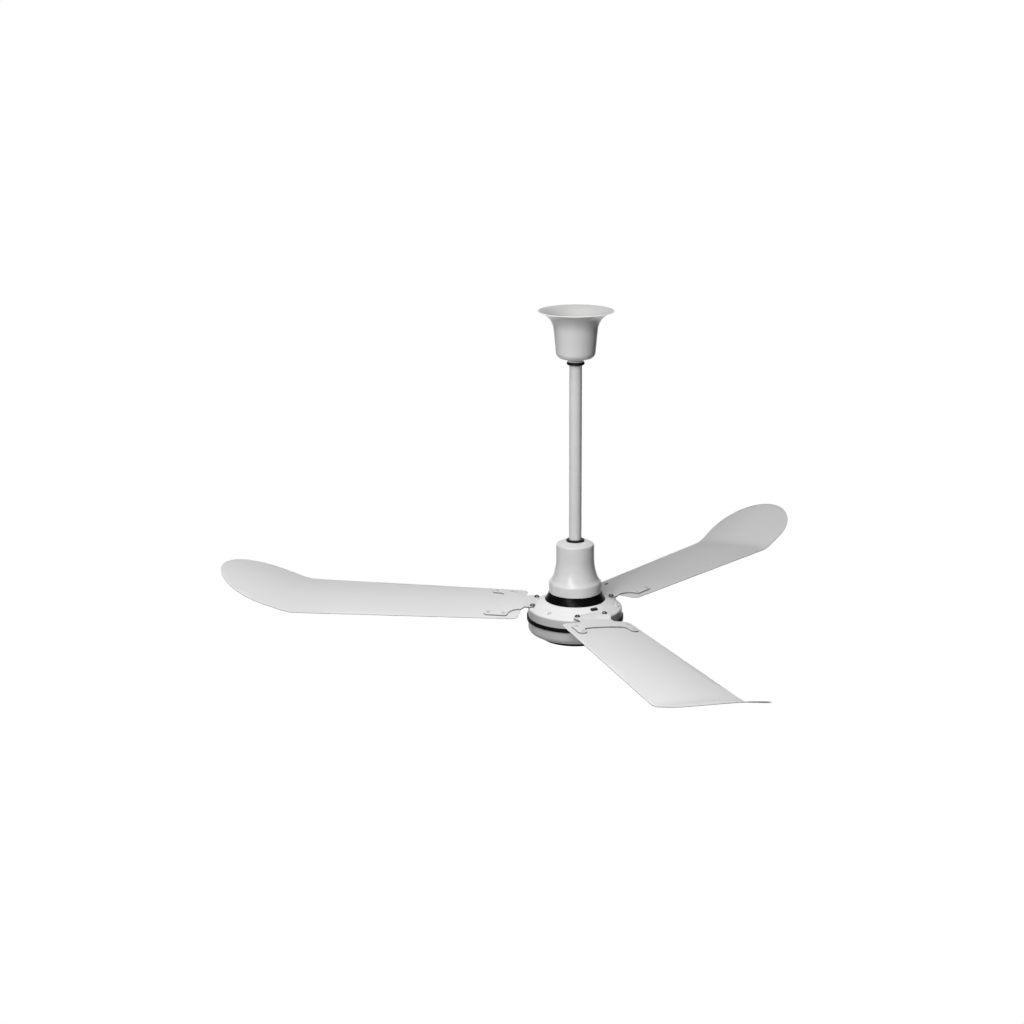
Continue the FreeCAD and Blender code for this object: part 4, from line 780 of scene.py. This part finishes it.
def makeIronScrews():
    c = ironScrewShape
    length = motorZ + c["height"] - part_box("iron_screws")[0].z
    bm = screwBody(c, length)
    collarTop = c["flangeHeight"] + c["collarEdge"]
    for face in bm.faces:  # lighter steel on the head than on the dark collar, a painted highlight
        face.material_index = 1 if face.calc_center_median().z > collarTop else 0
    repeatAt(bm, [toRotor(heading) @ Matrix.Translation((c["u"], side * c["v"], c["height"]))
                  for heading in headings() for side in (-1, 1)])
    addPiece("ironScrews", bm, "dark_steel", "iron_screws", looks=["dark_steel", "screw_steel"])


def betweenBlades(circle, height):
    return [toRotor(heading + math.pi / rotorShape["count"]) @ Matrix.Translation((circle, 0, height))
            for heading in headings()]


housingScrewShape = {
    "shank": 0.002, "flange": 0.00368, "flangeHeight": 0.0004, "head": 0.0034, "wallHeight": 0.001,
    "headHeight": 0.0029, "circle": 0.084, "height": 0.008,
}


def makeHousingScrews():
    c = housingScrewShape
    bm = screwBody(c, motorZ + c["height"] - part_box("housing_screws")[0].z)
    repeatAt(bm, betweenBlades(c["circle"], c["height"]))
    addPiece("housingScrews", bm, "white_enamel", "housing_screws")


capScrewShape = {
    "shank": 0.0015, "flange": 0.00276, "flangeHeight": 0.0003, "head": 0.0026, "wallHeight": 0.0008,
    "headHeight": 0.0022, "circle": 0.060,
}


def makeCapScrews():
    c = capScrewShape
    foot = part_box("bottom_cap")[0].z
    bm = screwBody(c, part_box("bottom_cap_screws")[1].z - foot)
    upsideDown = Matrix.Rotation(math.pi, 4, "X")
    repeatAt(bm, [place @ upsideDown for place in betweenBlades(c["circle"], foot - motorZ)])
    addPiece("capScrews", bm, "zinc_steel", "bottom_cap_screws")


rivetShape = {
    "shank": 0.002, "head": 0.0045, "headHeight": 0.0016, "grip": 0.00429, "clearance": 0.00002,
    "u": (0.140, 0.172), "v": 0.055,
}


def makeRivets():
    c = rivetShape
    head = c["head"]
    rise = c["headHeight"]
    dome = (head ** 2 + rise ** 2) / (2 * rise)
    profile = [(0, -c["grip"] - rise)]
    arcTo(profile, (head, -c["grip"]), dome, leftTurn, cornerArc)
    profile += [(c["shank"], -c["grip"]), (c["shank"], 0), (head, 0)]
    arcTo(profile, (0, rise), dome, leftTurn, cornerArc)
    bm = bmesh.new()
    spinProfile(bm, profile, fastenerSteps, closed=False)
    pitch = math.radians(bladeShape["pitch"])
    reach = bladeShape["camber"] + ironShape["clearance"] + ironShape["thickness"] + c["clearance"]
    places = []
    for heading in headings():
        for u in c["u"]:
            for v in (-c["v"], c["v"]):
                lean = math.asin((v + bladeShape["camber"] * math.sin(pitch)) / reach)
                seat = Matrix.Translation((u, v, camberHeight(reach, v))) @ Matrix.Rotation(-lean, 4, "X")
                places.append(toRotor(heading) @ seat)
    repeatAt(bm, places)
    addPiece("bladeRivets", bm, "white_enamel", "blade_rivets", looks=["rivet_paint"])


weightShape = {
    "length": 0.015, "width": 0.0065, "thickness": 0.003, "corner": 0.0015, "edge": 0.0005, "slope": 25.6,
}


def makeWeight():
    c = weightShape
    low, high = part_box("balance_weight")
    centre = (low + high) / 2
    reach = (c["width"] / 2, c["length"] / 2)
    corner = c["corner"]
    outline = []
    for across, along in ((1, -1), (1, 1), (-1, 1), (-1, -1)):
        start = math.atan2(along, across) - math.pi / 4
        for step in range(edgeArc + 1):
            angle = start + math.pi / 2 * step / edgeArc
            outline.append((across * (reach[0] - corner) + corner * math.cos(angle),
                            along * (reach[1] - corner) + corner * math.sin(angle)))
    bm = flatPlate(outline, c["thickness"], c["edge"])
    bmesh.ops.translate(bm, verts=bm.verts[:], vec=(0, 0, -c["thickness"] / 2))
    turn = Matrix.Rotation(math.atan2(centre.y, centre.x), 4, "Z")
    lean = Matrix.Rotation(math.radians(c["slope"]), 4, "Y")
    bmesh.ops.transform(bm, matrix=Matrix.Translation(centre) @ turn @ lean, verts=bm.verts[:])
    addPiece("balanceWeight", bm, "dark_steel", "balance_weight")


makeIronScrews()
makeHousingScrews()
makeCapScrews()
makeRivets()
makeWeight()
print("fasteners made")


# Camera and studio

photoCamera = {
    "lens": 66.94, "sensor": 36, "farClip": 200, "standoff": 3.71895, "height": 0.6358,
    "yaw": -1.975, "pitch": 15.348, "roll": -0.373,
}
studio = {
    "worldStrength": 0.01, "floorDrop": 2.6, "floorSize": 60,
    "floorColour": grey(0.86), "floorRoughness": 0.9,
    "backdropHalf": (24, 40),  # degrees each side of straight behind: full white, then none
}
lamps = {
    "frontLamp": {"azimuth": -25, "elevation": 25, "distance": 2.4, "size": 0.8, "power": 18},
    "keyLamp": {"azimuth": -15, "elevation": 48, "distance": 2.4, "size": 0.7, "power": 20.5},
    "topLamp": {"azimuth": -25, "elevation": 75, "distance": 2.4, "size": 1.0, "power": 19},
    "backLamp": {
        "azimuth": 172, "elevation": -32, "distance": 2.0, "size": 1.0, "power": 28, "mirrored": False,
    },
}


def makeCamera():
    c = photoCamera
    data = bpy.data.cameras.new("photoCamera")
    data.lens = c["lens"]
    data.sensor_width = c["sensor"]
    data.clip_end = c["farClip"]
    camera = bpy.data.objects.new("photoCamera", data)
    bpy.context.scene.collection.objects.link(camera)
    camera.matrix_world = (
        Matrix.Translation((0, -c["standoff"], c["height"]))
        @ Matrix.Rotation(math.radians(-c["yaw"]), 4, "Z")
        @ Matrix.Rotation(math.radians(90 - c["pitch"]), 4, "X")
        @ Matrix.Rotation(math.radians(c["roll"]), 4, "Z")
    )
    bpy.context.scene.camera = camera


def areaLamp(name, azimuth, elevation, distance, size, power, mirrored=True):  # azimuth 0: camera's side
    data = bpy.data.lights.new(name, "AREA")
    data.energy = power
    data.size = size
    light = bpy.data.objects.new(name, data)
    bpy.context.scene.collection.objects.link(light)
    turn = math.radians(azimuth)
    rise = math.radians(elevation)
    away = Vector((math.sin(turn) * math.cos(rise), -math.cos(turn) * math.cos(rise), math.sin(rise)))
    light.location = Vector((0, 0, motorZ)) + away * distance
    light.rotation_euler = away.to_track_quat("Z", "Y").to_euler()
    light.visible_glossy = mirrored


def backdropMask():  # 1 straight behind the object, fading to 0 towards the sides
    inputs = [("Vector", "NodeSocketVector")]
    tree, given, result = newGroup("backdropMask", inputs, [("Mask", "NodeSocketFloat")])
    level = tree.nodes.new("ShaderNodeVectorMath")
    level.operation = "MULTIPLY"
    level.inputs[1].default_value = (1, 1, 0)
    heading = tree.nodes.new("ShaderNodeVectorMath")
    heading.operation = "NORMALIZE"
    behind = tree.nodes.new("ShaderNodeVectorMath")
    behind.operation = "DOT_PRODUCT"
    behind.inputs[1].default_value = (0, 1, 0)
    fade = tree.nodes.new("ShaderNodeMapRange")
    fade.interpolation_type = "SMOOTHSTEP"
    full, none = studio["backdropHalf"]
    fade.inputs["From Min"].default_value = math.cos(math.radians(none))
    fade.inputs["From Max"].default_value = math.cos(math.radians(full))
    tree.links.new(given.outputs["Vector"], level.inputs[0])
    tree.links.new(level.outputs["Vector"], heading.inputs[0])
    tree.links.new(heading.outputs["Vector"], behind.inputs[0])
    tree.links.new(behind.outputs["Value"], fade.inputs["Value"])
    tree.links.new(fade.outputs["Result"], result.inputs["Mask"])
    return tree


def mathNode(tree, operation, first, second):
    node = tree.nodes.new("ShaderNodeMath")
    node.operation = operation
    tree.links.new(first, node.inputs[0])
    tree.links.new(second, node.inputs[1])
    return node.outputs["Value"]


def showsWhite(tree, coordinate):  # 1 for the camera, and for gloss and glass that look at the backdrop
    path = tree.nodes.new("ShaderNodeLightPath")
    mask = tree.nodes.new("ShaderNodeGroup")
    mask.node_tree = backdropGroup
    place = tree.nodes.new("ShaderNodeTexCoord").outputs[coordinate]
    tree.links.new(place, mask.inputs["Vector"])
    mirror = mathNode(tree, "MAXIMUM", path.outputs["Is Glossy Ray"], path.outputs["Is Transmission Ray"])
    mirrored = mathNode(tree, "MULTIPLY", mirror, mask.outputs["Mask"])
    return mathNode(tree, "MAXIMUM", path.outputs["Is Camera Ray"], mirrored)


def mixWhite(tree, coordinate, plain, white, output):
    mix = tree.nodes.new("ShaderNodeMixShader")
    tree.links.new(showsWhite(tree, coordinate), mix.inputs["Fac"])
    tree.links.new(plain, mix.inputs[1])
    tree.links.new(white, mix.inputs[2])
    tree.links.new(mix.outputs["Shader"], tree.nodes[output].inputs["Surface"])


backdropGroup = backdropMask()


def makeWorld():
    world = bpy.data.worlds.new("studioWorld")
    bpy.context.scene.world = world
    world.use_nodes = True
    tree = world.node_tree
    fill = tree.nodes["Background"]
    fill.inputs["Color"].default_value = (1, 1, 1, 1)
    fill.inputs["Strength"].default_value = studio["worldStrength"]
    white = tree.nodes.new("ShaderNodeBackground")
    white.inputs["Color"].default_value = (1, 1, 1, 1)
    white.inputs["Strength"].default_value = 1
    mixWhite(tree, "Generated", fill.outputs["Background"], white.outputs["Background"], "World Output")


def makeFloor():
    material = bpy.data.materials.new("paleFloor")
    material.use_nodes = True
    tree = material.node_tree
    pale = tree.nodes["Principled BSDF"]
    pale.inputs["Base Color"].default_value = (*studio["floorColour"], 1)
    pale.inputs["Roughness"].default_value = studio["floorRoughness"]
    white = tree.nodes.new("ShaderNodeEmission")
    mixWhite(tree, "Object", pale.outputs["BSDF"], white.outputs["Emission"], "Material Output")
    bm = bmesh.new()
    bmesh.ops.create_grid(bm, x_segments=1, y_segments=1, size=studio["floorSize"] / 2)
    bmesh.ops.translate(bm, verts=bm.verts[:], vec=(0, 0, -studio["floorDrop"]))
    mesh = bpy.data.meshes.new("studioFloor")
    bm.to_mesh(mesh)
    bm.free()
    mesh.materials.append(material)
    floor = bpy.data.objects.new("studioFloor", mesh)
    bpy.context.scene.collection.objects.link(floor)


makeCamera()
for lampName, lamp in lamps.items():
    areaLamp(lampName, **lamp)
makeWorld()
makeFloor()
bpy.context.scene.view_settings.view_transform = "Standard"
print("studio made")
